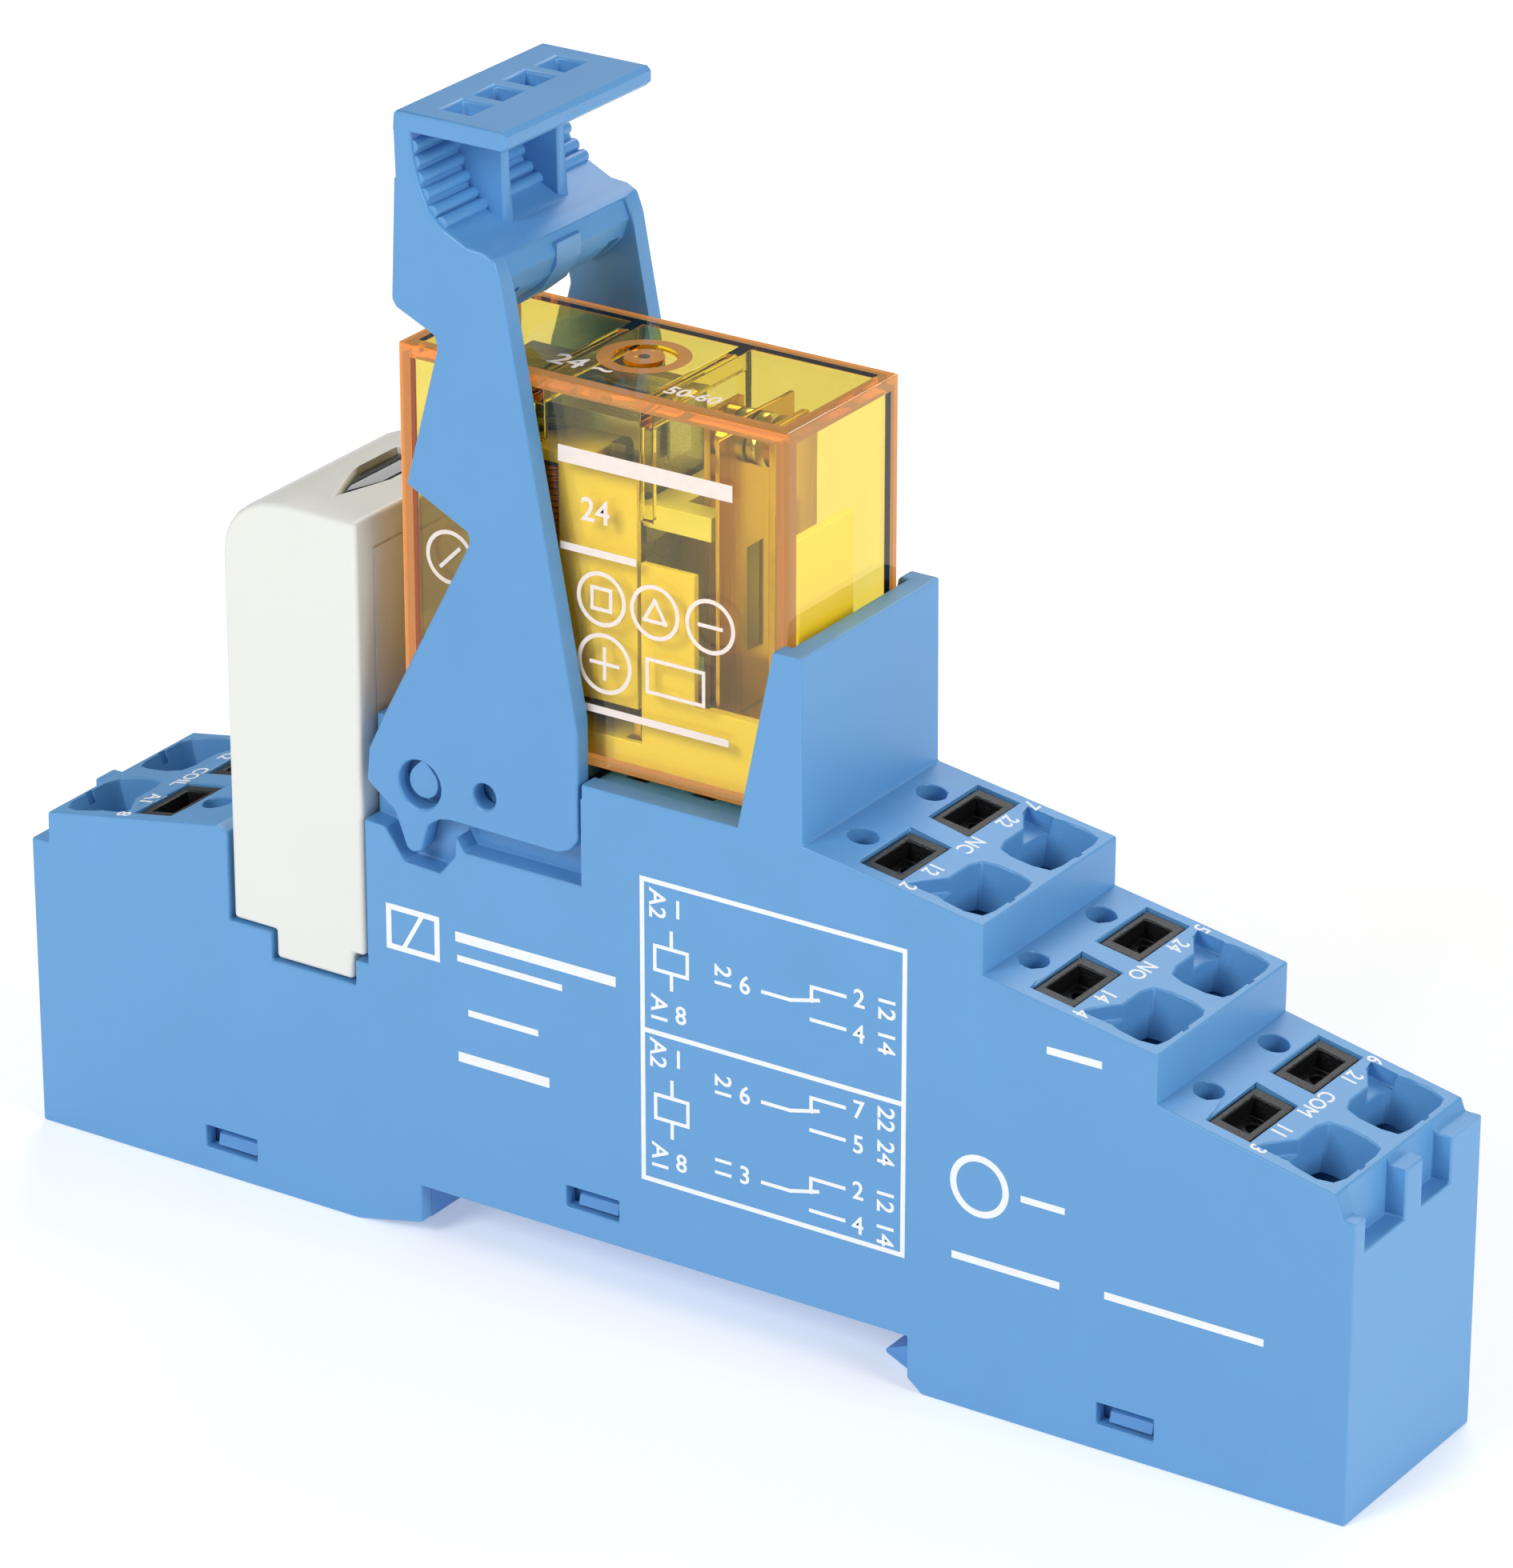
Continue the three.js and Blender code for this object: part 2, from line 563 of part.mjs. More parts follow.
DECKS.forEach((deck) => {
  deck.terminals.forEach((terminal, i) => {
    const bar = deck.name === 'a' ? coilBar(deck, i) : contactBar(deck, i);
    addPiece(`current_bar_${terminal}`, bar, metal(COPPER));
  });
});

// ---------------------------------------------------------------- retaining clip
function armOutline() {
  return [
    [31.05, 77.4], [30.5, 65.0], [30.8, 64.5], [33.7, 63.2], [33.9, 62.4], [31.35, 52.9],
    [36.0, 50.6], [36.1, 49.9], [29.5, 37.3], [27.95, 34.1], [27.75, 31.8], [29.9, 30.2],
    [30.8, 27.8], [31.3, 27.6], [31.95, 27.85], [32.5, 29.8], [33.4, 30.4], [34.3, 30.55],
    [42.6, 30.4], [43.5, 30.8], [44.15, 31.6], [44.15, 38.9], [38.75, 67.8], [38.3, 69.0],
    [37.5, 69.4], [36.3, 69.5], [34.45, 70.4], [33.4, 71.3], [32.7, 72.9], [32.3, 74.7],
    [32.15, 76.2],
  ];
}

// the thumb rest: a curved wall with ribs across it, ending in a shelf
function thumbRest() {
  const wall = [
    [31.05, 77.4], [30.85, 72.9], [31.6, 71.4], [32.8, 69.9], [34.4, 68.9], [36.2, 68.2],
    [37.5, 68.1], [38.3, 69.0], [37.5, 69.4], [36.3, 69.5], [34.45, 70.4], [33.4, 71.3],
    [32.7, 72.9], [32.3, 74.7], [32.15, 76.2],
  ];
  const curve = [[32.2, 75.2], [32.35, 74.2], [32.6, 73.2], [33.0, 72.2], [33.6, 71.2], [34.3, 70.6]];
  const ribs = curve.map(([x, z]) => solid(crossPin(x, z, 0.42, [0.25, WIDTH - 0.25], 10)));
  return join(solid(profile(wall, [0, WIDTH])), ...ribs);
}

function topPlate() {
  const outline = [
    [31.05, 77.4], [30.95, 76.1], [39.1, 76.1], [39.4, 76.4], [39.4, 77.1], [39.1, 77.4],
  ];
  const windows = [-5.0, -1.67, 1.67, 5.0].map((y) =>
    solid(box([33.4, 35.5], [MIDDLE + y - 1.1, MIDDLE + y + 1.1], [75, 79])));
  return cut(solid(profile(outline, [0, WIDTH])), ...windows);
}

// the curtain that reaches from the shelf towards the relay, with an arched lower edge
function holdDownCurtain() {
  const sheet = [[36.8, 68.8], [37.7, 68.4], [38.0, 67.6], [37.6, 66.5], [36.5, 65.4], [35.4, 64.7]];
  const fingerLine = [[38.1, 68.3], [38.1, 67.1], [37.1, 65.5], [35.6, 64.3], [34.3, 63.6]];
  const curtain = solid(profile(stripOutline(sheet, 1.0), [ARM - 0.2, WIDTH - ARM + 0.2]));
  const finger = solid(profile(stripOutline(fingerLine, 1.0), [MIDDLE - 1.5, MIDDLE + 1.1]));
  const slots = bothSides((ends) => solid(box([34, 40], ends, [62, 66.4])), [ARM + 0.5, ARM + 1.7]);
  return join(cut(curtain, ...slots), finger);
}

function retainingClip() {
  const arms = bothSides((ends) => solid(profile(armOutline(), ends)), [0, ARM]);
  const pivots = bothSides((ends) => solid(crossPin(PIVOT.x, PIVOT.z, PIVOT.hole, ends)),
    [-1, ARM + 0.5]);
  const holes = bothSides((ends) => solid(crossPin(36.95, 32.9, 0.87, ends, 16)), [-1, ARM + 0.5]);
  const ribs = [-2.95, 2.95].map((y) =>
    solid(box([31.5, 35.9], [MIDDLE + y - 0.35, MIDDLE + y + 0.35], [69.6, 76.5])));
  const crossbar = solid(profile([[40.2, 34.4], [42.9, 34.4], [42.9, 35.6], [40.2, 35.7]],
    [ARM - 0.2, WIDTH - ARM + 0.2]));
  const body = cut(join(...arms), ...pivots, ...holes);
  return join(body, thumbRest(), topPlate(), holdDownCurtain(), crossbar, ...ribs);
}

addPiece('retaining_clip', retainingClip(), plastic(BLUE, 0.4));

// ---------------------------------------------------------------- indicator module
function moduleOutline(inset) {
  const { left, right, top, shoulder } = MODULE;
  const lift = GAP - 0.1 + inset;
  return [
    [left + inset, SLOT.upper + lift], [SLOT.step + GAP + inset, SLOT.upper + lift],
    [SLOT.step + GAP + inset, SLOT.lower + lift], [26.2 - inset, SLOT.lower + lift],
    [26.2 - inset, 19.1 + inset], [right - inset, 19.1 + inset], [right - inset, top - inset],
    [left + shoulder + 1, top - inset + 0.1],
    ...arc(left + shoulder, top - shoulder, shoulder - inset, 90, 180, 6),
  ];
}

// seen from above: pointed towards the front, square at the back
function lensOutline(grow) {
  return [
    [23.3, 4.5 - 2 * grow], [24.0 + grow, 7.6], [24.0 + grow, 12.0 + grow],
    [21.9 - grow, 12.0 + grow], [21.9 - grow, 8.2],
  ];
}

function moduleCase() {
  const { side, wall } = MODULE;
  const block = solid(profile(moduleOutline(0), [side, WIDTH - side]));
  const hollow = solid(profile(moduleOutline(wall), [side + wall, WIDTH - side - wall]));
  const mouth = solid(box([SLOT.step + GAP + wall, 26.2 - wall],
    [side + wall, WIDTH - side - wall], [16, 20]));
  const lensSeat = solid(slab(lensOutline(GAP), [46.5, 51]));
  const panelLine = [
    solid(box([27.05, 28], [2.0, WIDTH - 2.0], [46.9, 47.1])),
    solid(box([27.05, 28], [2.0, 2.2], [22, 47])),
    solid(box([27.05, 28], [WIDTH - 2.2, WIDTH - 2.0], [22, 47])),
  ];
  return cut(block, hollow, mouth, lensSeat, ...panelLine);
}

function moduleBase() {
  const { side, wall } = MODULE;
  return solid(box([SLOT.step + 2 * GAP + wall, 26.2 - wall - GAP],
    [side + wall + GAP, WIDTH - side - wall - GAP], [17.4, 18.6]));
}

// a leaf-shaped prism set into the case's top, with its upper face cut into three slopes
function moduleLens() {
  const prism = solid(slab(lensOutline(0), [46.8, MODULE.top]));
  const slopes = [[22.2, -14], [23.7, 14]].map(([x, angle]) => {
    const turn = new THREE.Matrix4().makeRotationY(THREE.MathUtils.degToRad(angle));
    turn.setPosition(x, 0, MODULE.top - 0.15);
    return solid(box([-3, 3], [0, WIDTH], [0, 3]), turn);
  });
  return cut(prism, ...slopes);
}

function modulePin(y) {
  return solid(box([22.85, 23.55], [y - 0.9, y + 0.9], [12.4, 17.2]));
}

function indicatorLamp() {
  const dome = new THREE.SphereGeometry(1.1, 12, 8).translate(22.6, 8.4, 45.2);
  const barrel = post(22.6, 8.4, 1.1, [43.4, 45.2], 12);
  return join(solid(barrel), solid(dome));
}

addPiece('module_case', moduleCase(), plastic(OFF_WHITE, 0.45));
addPiece('module_base', moduleBase(), plastic(OFF_WHITE, 0.5));
addPiece('module_lens', moduleLens(), plastic(SMOKE, 0.15));
addPiece('module_circuit_board', box([22.2, 23.0], [2.4, WIDTH - 2.4], [19.2, 43.0]),
  plastic(BOARD_GREEN));
addPiece('module_indicator_lamp', indicatorLamp(), plastic(LAMP_GREEN, 0.2));
addPiece('module_pin_a1', modulePin(MIDDLE - PIN.spread), metal(TINNED));
addPiece('module_pin_a2', modulePin(MIDDLE + PIN.spread), metal(TINNED));

// ---------------------------------------------------------------- plug-in relay
// Drawn in the relay's own frame: the lower left front corner of its cover is the origin.
const relay = new THREE.Group();
relay.position.set(RELAY.x, RELAY.y, RELAY.z);
assembly.add(relay);
const RELAY_MIDDLE = RELAY.depth / 2;
const BLADE = { x: [22.5, 22.8], foot: 4.4, tip: 23.0, contact: 21.6 };
const PUSH_HEIGHT = 17.0;
const COIL_X = 7.7;

function relayCover() {
  const { length, depth, height, wall } = RELAY;
  const shell = cut(
    solid(box([0, length], [0, depth], [0, height])),
    solid(box([wall, length - wall], [wall, depth - wall], [-1, height - wall])),
  );
  const partitions = [[9.8, 20.8], [17.9, 17.2]].flatMap(([x, foot]) => [
    solid(box([x, x + 0.8], [wall - 0.1, depth - wall + 0.1], [height - 2.2, height - 0.5])),
    solid(box([x, x + 0.8], [wall - 0.1, wall + 0.6], [foot, height - 0.5])),
    solid(box([x, x + 0.8], [depth - wall - 0.6, depth - wall + 0.1], [foot, height - 0.5])),
  ]);
  const sealRing = cut(
    solid(post(14.3, RELAY_MIDDLE, 2.1, [height - 0.3, height + 1], 24)),
    solid(post(14.3, RELAY_MIDDLE, 1.3, [height - 1, height + 2], 20)),
  );
  return cut(join(shell, ...partitions), sealRing);
}

function relayPinHole(x, y) {
  return solid(box([x - 0.6, x + 0.6], [y - 0.8, y + 0.8], [-1, 8]));
}

function relayPins() {
  return ['coil', 'nc', 'com', 'no'].flatMap((row) =>
    [-PIN.spread, PIN.spread].map((y) => [PIN[row], RELAY_MIDDLE + y]));
}

function relayBase() {
  const inset = RELAY.wall + GAP;
  const slab = solid(box([inset, RELAY.length - inset], [inset, RELAY.depth - inset], [0.15, 2.0]));
  const rimHeight = 5.4;
  const contactBlock = cut(
    solid(box([17.6, RELAY.length - inset], [inset, RELAY.depth - inset], [1.5, rimHeight])),
    solid(box([18.6, RELAY.length - inset - 0.4], [inset + 0.8, RELAY.depth - inset - 0.8], [2.0, 8])),
    solid(box([17, 19], [3.6, 8.8], [2.0, 8])),
  );
  const endWall = solid(box([RELAY.length - inset - 0.7, RELAY.length - inset], [2.2, 8.4],
    [rimHeight - 0.1, 17.6]));
  const cheeks = [[inset, inset + 0.5], [RELAY.depth - inset - 0.5, RELAY.depth - inset]].map((y) =>
    solid(box([17.6, 21.6], y, [rimHeight - 0.1, 14.2])));
  return cut(join(slab, contactBlock, endWall, ...cheeks), ...relayPins().map(([x, y]) => relayPinHole(x, y)));
}

function pinBlade(x, y, top) {
  return solid(box([x - 0.3, x + 0.3], [y - 0.5, y + 0.5], [-PIN.below, top]));
}

function coilPin(y) {
  const tag = solid(box([PIN.coil - 0.3, PIN.coil + 0.3], [y - 0.3, y + 0.3], [3.4, 3.8]));
  return join(pinBlade(PIN.coil, y, 3.5), tag);
}

// a pair of pins joined by a bar, with a standing strip and a contact button
function fixedContact(row, stripX, buttonX) {
  const pins = [-PIN.spread, PIN.spread].map((y) => pinBlade(PIN[row], RELAY_MIDDLE + y, 2.6));
  const low = Math.min(PIN[row] - 0.3, stripX[0]);
  const high = Math.max(PIN[row] + 0.3, stripX[1]);
  const crossBar = solid(box([PIN[row] - 0.3, PIN[row] + 0.3],
    [RELAY_MIDDLE - PIN.spread - 0.5, RELAY_MIDDLE + PIN.spread + 0.5], [2.4, 3.2]));
  const jog = solid(box([low, high], [RELAY_MIDDLE - 1.7, RELAY_MIDDLE + 1.7], [2.4, 3.2]));
  const strip = solid(box(stripX, [RELAY_MIDDLE - 1.7, RELAY_MIDDLE + 1.7], [2.5, BLADE.tip]));
  const button = solid(stud(RELAY_MIDDLE, BLADE.contact, 1.3, buttonX));
  return join(...pins, crossBar, jog, strip, button);
}

function commonTerminal() {
  const pins = [-PIN.spread, PIN.spread].map((y) => pinBlade(PIN.com, RELAY_MIDDLE + y, 2.6));
  const reach = PIN.spread + 0.5;
  const crossBar = solid(box([PIN.com - 0.3, PIN.com + 0.3],
    [RELAY_MIDDLE - reach, RELAY_MIDDLE + reach], [2.4, 3.2]));
  const foot = solid(box([PIN.com - 0.3, BLADE.x[1] + 0.1],
    [RELAY_MIDDLE - 2.5, RELAY_MIDDLE + 2.5], [2.6, 4.1]));
  return join(...pins, crossBar, foot);
}

function movingBlade() {
  const outline = [
    [BLADE.x[0], BLADE.foot], [BLADE.x[1], BLADE.foot], [BLADE.x[1], BLADE.tip],
    [BLADE.x[0], BLADE.tip],
  ];
  const slot = solid(box([22, 23.5], [RELAY_MIDDLE - 0.9, RELAY_MIDDLE + 0.9], [8, 15]));
  return cut(solid(profile(outline, [RELAY_MIDDLE - 4.0, RELAY_MIDDLE + 4.0])), slot);
}

function movingContact(x) {
  return solid(stud(RELAY_MIDDLE, BLADE.contact, 1.3, x));
}

// the shields reach from the flanges past the coil, between it and the contacts
function bobbin() {
  const flange = (z) => solid(box([2.6, 13.4], [1.3, RELAY.depth - 1.3], z));
  const tube = solid(post(COIL_X, RELAY_MIDDLE, 2.7, [4.5, 19.8]));
  const bore = solid(post(COIL_X, RELAY_MIDDLE, 2.35, [0, 25]));
  const [lower, upper] = [[4.2, 5.0], [19.4, 20.2]];
  const shields = [[1.3, 1.8], [RELAY.depth - 1.8, RELAY.depth - 1.3]].map((y) =>
    solid(box([11.4, 17.3], y, [lower[0], upper[1]])));
  return join(cut(join(tube, flange(lower), flange(upper)), bore), ...shields);
}

function winding() {
  const outer = solid(post(COIL_X, RELAY_MIDDLE, 4.7, [5.3, 19.1], 32));
  return cut(outer, solid(post(COIL_X, RELAY_MIDDLE, 2.9, [0, 25], 24)));
}

function yoke() {
  const sides = [3.2, RELAY.depth - 3.2];
  return join(
    solid(box([4.0, 15.2], sides, [2.4, 3.5])),
    solid(box([14.1, 15.2], sides, [2.4, 20.8])),
  );
}

function armature() {
  const outline = [
    [3.6, 21.5], [15.7, 21.5], [15.9, 21.2], [15.9, 14.6], [16.8, 14.6], [16.8, 22.2],
    [16.4, 22.6], [3.6, 22.6],
  ];
  return solid(profile(outline, [3.0, RELAY.depth - 3.0]));
}

function armatureSpring() {
  const line = [[10.6, 22.95], [16.4, 22.95], [16.95, 22.7], [17.15, 22.1], [17.15, 19.6]];
  return solid(profile(stripOutline(line, 0.2), [RELAY_MIDDLE - 1.2, RELAY_MIDDLE + 1.2]));
}

function pusher() {
  const z = [PUSH_HEIGHT - 0.8, PUSH_HEIGHT + 0.8];
  const bridge = solid(box([17.1, 19.4], [2.2, RELAY.depth - 2.2], z));
  const arms = [[2.2, 3.9], [RELAY.depth - 3.9, RELAY.depth - 2.2]].map((y) =>
    solid(box([19.3, 22.2], y, z)));
  return join(bridge, ...arms);
}

addPiece('relay_cover', relayCover(), amberPlastic(), relay);
addPiece('relay_base', relayBase(), plastic(STRAW), relay);
addPiece('coil_pin_a1', coilPin(RELAY_MIDDLE - PIN.spread), metal(TINNED), relay);
addPiece('coil_pin_a2', coilPin(RELAY_MIDDLE + PIN.spread), metal(TINNED), relay);
addPiece('normally_closed_contact', fixedContact('nc', [20.1, 20.6], [20.3, 21.5]), metal(BRASS),
  relay);
addPiece('normally_open_contact', fixedContact('no', [24.9, 25.4], [24.2, 25.2]), metal(BRASS),
  relay);
addPiece('common_terminal', commonTerminal(), metal(BRASS), relay);
addPiece('moving_contact_blade', movingBlade(), metal(BRASS), relay);
addPiece('moving_contact_closed_side', movingContact([21.6, 22.4]), metal(TINNED), relay);
addPiece('moving_contact_open_side', movingContact([22.9, 23.6]), metal(TINNED), relay);
addPiece('coil_bobbin', bobbin(), plastic(STRAW), relay);
addPiece('coil_winding', winding(), metal(COPPER, 0.45), relay);
addPiece('coil_core', post(COIL_X, RELAY_MIDDLE, 2.05, [3.8, 20.45]), metal(SOFT_IRON), relay);
addPiece('magnet_yoke', yoke(), metal(SOFT_IRON), relay);
addPiece('armature', armature(), metal(SOFT_IRON), relay);
addPiece('armature_spring', armatureSpring(), metal(SPRING_STEEL), relay);
addPiece('pusher', pusher(), plastic(OFF_WHITE), relay);

// ---------------------------------------------------------------- whole part
const part = new THREE.Group();
assembly.position.set(-LENGTH / 2, -WIDTH / 2, 0);
part.add(assembly);

export default part;
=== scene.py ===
import json
import math

import bmesh
import bpy
from bpy.props import FloatProperty, FloatVectorProperty, PointerProperty
from bpy.types import Operator, Panel, PropertyGroup
from mathutils import Matrix, Vector
from mathutils.geometry import intersect_line_line_2d, intersect_point_line


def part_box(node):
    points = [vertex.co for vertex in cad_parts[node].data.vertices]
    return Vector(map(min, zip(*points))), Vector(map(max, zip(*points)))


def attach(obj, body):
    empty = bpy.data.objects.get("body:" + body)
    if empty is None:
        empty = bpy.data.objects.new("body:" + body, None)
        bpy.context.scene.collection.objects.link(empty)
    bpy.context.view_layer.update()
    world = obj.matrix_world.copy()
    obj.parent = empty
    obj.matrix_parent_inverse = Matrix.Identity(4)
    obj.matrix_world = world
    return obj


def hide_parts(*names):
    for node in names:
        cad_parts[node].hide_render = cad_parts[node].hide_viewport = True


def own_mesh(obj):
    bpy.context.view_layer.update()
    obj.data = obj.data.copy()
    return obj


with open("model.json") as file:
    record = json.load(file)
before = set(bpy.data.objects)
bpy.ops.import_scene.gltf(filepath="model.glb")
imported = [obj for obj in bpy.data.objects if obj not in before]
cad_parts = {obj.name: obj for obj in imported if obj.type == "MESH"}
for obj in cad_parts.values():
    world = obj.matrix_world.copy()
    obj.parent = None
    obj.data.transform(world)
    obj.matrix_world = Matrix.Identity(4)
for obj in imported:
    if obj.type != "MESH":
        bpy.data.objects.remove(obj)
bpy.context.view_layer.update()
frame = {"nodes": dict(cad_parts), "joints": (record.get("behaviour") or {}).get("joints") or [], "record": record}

bl_info = {
    "name": "Plug-in relay on a rail socket",
    "version": (1, 0, 0),
    "blender": (4, 5, 0),
    "location": "3D View > Sidebar > Relay",
    "description": "Finishes the socket, the clear-cased relay, its clip and the indicator module",
    "category": "Object",
}

MM = 0.001
SOCKET_LOW, SOCKET_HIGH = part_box("housing")
COVER_LOW, COVER_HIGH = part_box("relay_cover")


# ------------------------------------------------------------------ sizes and colours
def linear(hex_value):
    """An sRGB hex value as linear red, green and blue."""
    channels = [int(hex_value[i:i + 2], 16) / 255 for i in (0, 2, 4)]
    return tuple(c / 12.92 if c <= 0.04045 else ((c + 0.055) / 1.055) ** 2.4 for c in channels)


def length(name, description, millimetres):
    return FloatProperty(
        name=name, description=description, default=millimetres * MM, min=0.0, precision=6,
        subtype="DISTANCE", unit="LENGTH")


def colour(name, description, hex_value):
    return FloatVectorProperty(
        name=name, description=description, default=linear(hex_value), size=3,
        min=0.0, max=1.0, subtype="COLOR")


class RelaySizes(PropertyGroup):
    """Sizes of the finish; the pieces' own sizes come from the frame."""
    socket_edge: length("Socket edge", "Radius along the socket's edges", 0.16)
    clip_edge: length("Clip edge", "Radius along the retaining clip's edges", 0.24)
    module_edge: length("Module edge", "Radius along the indicator module's edges", 0.36)
    cover_edge: length("Cover edge", "Radius along the clear cover's edges", 0.14)
    button_edge: length("Button edge", "Radius along the release buttons' edges", 0.14)
    inner_edge: length("Inner edge", "Radius along the inner mouldings' edges", 0.08)
    strip_edge: length("Strip edge", "Radius along the stamped strips' edges", 0.05)
    ink: length("Ink thickness", "How far the pad print stands off its surface", 0.02)
    wire_pitch: length("Wire pitch", "Distance between the turns shown on the coil", 0.42)


class RelayColours(PropertyGroup):
    """Colours of the mouldings, metals and inks."""
    socket: colour("Socket", "Socket housing", "5e9bd1")
    cover: colour("Base cover", "Cover under the socket", "5793d0")
    clip: colour("Clip", "Retaining clip", "5b98cf")
    button: colour("Button", "Release buttons", "0b0b0c")
    case: colour("Module case", "Indicator module", "e4e5df")
    smoke: colour("Smoked lens", "Lens of the indicator module", "6b6660")
    amber: colour("Amber", "Clear relay cover", "fffaf0")
    # painted glow: the colour that the cover's edge strips are painted with and give off as light of their own
    amber_edge_painted_glow: colour("Amber edge", "Clear cover where it is seen edge-on", "ffb052")
    straw: colour("Straw", "Mouldings inside the relay", "e8dba0")
    brass: colour("Brass", "Contact strips", "d9b45e")
    copper: colour("Copper", "Coil wire", "b8703a")
    tin: colour("Tin", "Tinned pins and bars", "cdcdca")
    steel: colour("Steel", "Springs", "b9bbbd")
    iron: colour("Iron", "Magnet parts", "a3a4a4")
    silver: colour("Silver", "Contact buttons", "dddcd6")
    board: colour("Board", "Circuit board mask", "2f6b45")
    lamp: colour("Lamp", "Indicator lamp", "9bd884")
    ink: colour("Ink", "Print on the socket", "f3f6f9")
    cover_ink: colour("Cover ink", "Print on the clear cover", "f6e8df")
    floor: colour("Floor", "Studio floor", "f4f4f3")


# ------------------------------------------------------------------ material nodes
def add_node(tree, kind, inputs=None, **settings):
    """Adds a node. inputs maps a socket's name or number to a value or to a node's output."""
    made = tree.nodes.new(kind)
    for name, value in settings.items():
        setattr(made, name, value)
    for key, value in (inputs or {}).items():
        if isinstance(value, bpy.types.NodeSocket):
            tree.links.new(value, made.inputs[key])
        else:
            made.inputs[key].default_value = value
    return made


def new_material(name):
    """An empty node material and its tree."""
    material = bpy.data.materials.new(name)
    material.use_nodes = True
    material.node_tree.nodes.clear()
    return material, material.node_tree


def shade(rgb, factor):
    """A colour made darker or lighter, as a socket's red, green, blue and alpha."""
    return (*[min(1.0, c * factor) for c in rgb], 1.0)


# the Mix node's colour sockets, by number because its other types use the same names
MIX_FACTOR, MIX_A, MIX_B, MIX_RESULT = "Factor", 6, 7, 2

# sizes of the patterns, in millimetres
PIGMENT_CLOUD = 7
ROLLING_RELIEF = 0.004
POLISH_WAVE = 5
POLISH_RELIEF = 0.05
INK_PATCH = 0.5
ROLLER_MARK = 40

# how much lighter than the pigment a fleck can be: the pale fibre end, with a painted glint on it
GLINT_SPECK_SHADE = 6.0
MOULDING_IOR = 1.53
# a rolling mark's width over its length
STREAK_STRETCH = 0.06
# the least share of light taken to be left, which keeps the absorption finite
LEAST_LEFT = 0.002


def moulded(name, rgb, roughness, grain, depth, mottle=0.04, glint_speck=0.0):
    """Injection-moulded plastic, opaque.

    grain is the width of the mould's spark-eroded texture and depth its height, in
    millimetres. mottle is how far the pigment drifts in soft clouds, and glint_speck how much
    lighter the grains' tops are painted than the pigment: partly the pale fibre ends, partly a painted glint.
    """
    material, tree = new_material(name)
    place = add_node(tree, "ShaderNodeTexCoord").outputs["Object"]
    clouds = add_node(tree, "ShaderNodeTexNoise", {
        "Vector": place, "Scale": 1 / (PIGMENT_CLOUD * MM), "Detail": 3.0, "Roughness": 0.5})
    grains = add_node(tree, "ShaderNodeTexNoise", {
        "Vector": place, "Scale": 1 / (grain * MM), "Detail": 2.0, "Roughness": 0.55})
    pigment = add_node(tree, "ShaderNodeMix", {
        MIX_FACTOR: clouds.outputs["Fac"],
        MIX_A: shade(rgb, 1 - mottle), MIX_B: shade(rgb, 1 + mottle)}, data_type="RGBA")
    # the grain's tops are painted lighter: a painted glint on the pale fibre ends
    tops = add_node(tree, "ShaderNodeMapRange", {
        "Value": grains.outputs["Fac"], "From Min": 0.5, "From Max": 0.75, "To Max": glint_speck})
    lit = add_node(tree, "ShaderNodeMix", {
        MIX_FACTOR: tops.outputs["Result"], MIX_A: pigment.outputs[MIX_RESULT],
        MIX_B: shade(rgb, GLINT_SPECK_SHADE)}, data_type="RGBA")
    gloss = add_node(tree, "ShaderNodeMapRange", {
        "Value": clouds.outputs["Fac"], "To Min": roughness - 0.05, "To Max": roughness + 0.05})
    relief = add_node(tree, "ShaderNodeBump", {
        "Strength": 1.0, "Distance": depth * MM, "Height": grains.outputs["Fac"]})
    plastic = add_node(tree, "ShaderNodeBsdfPrincipled", {
        "Base Color": lit.outputs[MIX_RESULT], "Roughness": gloss.outputs["Result"],
        "IOR": MOULDING_IOR, "Normal": relief.outputs["Normal"]})
    add_node(tree, "ShaderNodeOutputMaterial", {"Surface": plastic.outputs["BSDF"]})
    return material


def rolled(name, rgb, roughness, streak, grain=0.25):
    """Metal strip, rolled or drawn: fine streaks along one axis that spread the highlight.

    streak is the direction that the rolling marks follow, and grain their width in
    millimetres.
    """
    material, tree = new_material(name)
    place = add_node(tree, "ShaderNodeTexCoord").outputs["Object"]
    stretched = add_node(tree, "ShaderNodeMapping", {
        "Vector": place,
        "Scale": [STREAK_STRETCH if axis else 1.0 for axis in streak]})
    marks = add_node(tree, "ShaderNodeTexNoise", {
        "Vector": stretched.outputs["Vector"], "Scale": 1 / (grain * MM), "Detail": 3.0})
    tint = add_node(tree, "ShaderNodeMix", {
        MIX_FACTOR: marks.outputs["Fac"], MIX_A: shade(rgb, 0.86), MIX_B: shade(rgb, 1.08)},
        data_type="RGBA")
    gloss = add_node(tree, "ShaderNodeMapRange", {
        "Value": marks.outputs["Fac"], "To Min": roughness - 0.08, "To Max": roughness + 0.1})
    relief = add_node(tree, "ShaderNodeBump", {
        "Strength": 0.6, "Distance": ROLLING_RELIEF * MM, "Height": marks.outputs["Fac"]})
    metal = add_node(tree, "ShaderNodeBsdfPrincipled", {
        "Base Color": tint.outputs[MIX_RESULT], "Metallic": 1.0,
        "Roughness": gloss.outputs["Result"], "Normal": relief.outputs["Normal"]})
    add_node(tree, "ShaderNodeOutputMaterial", {"Surface": metal.outputs["BSDF"]})
    return material


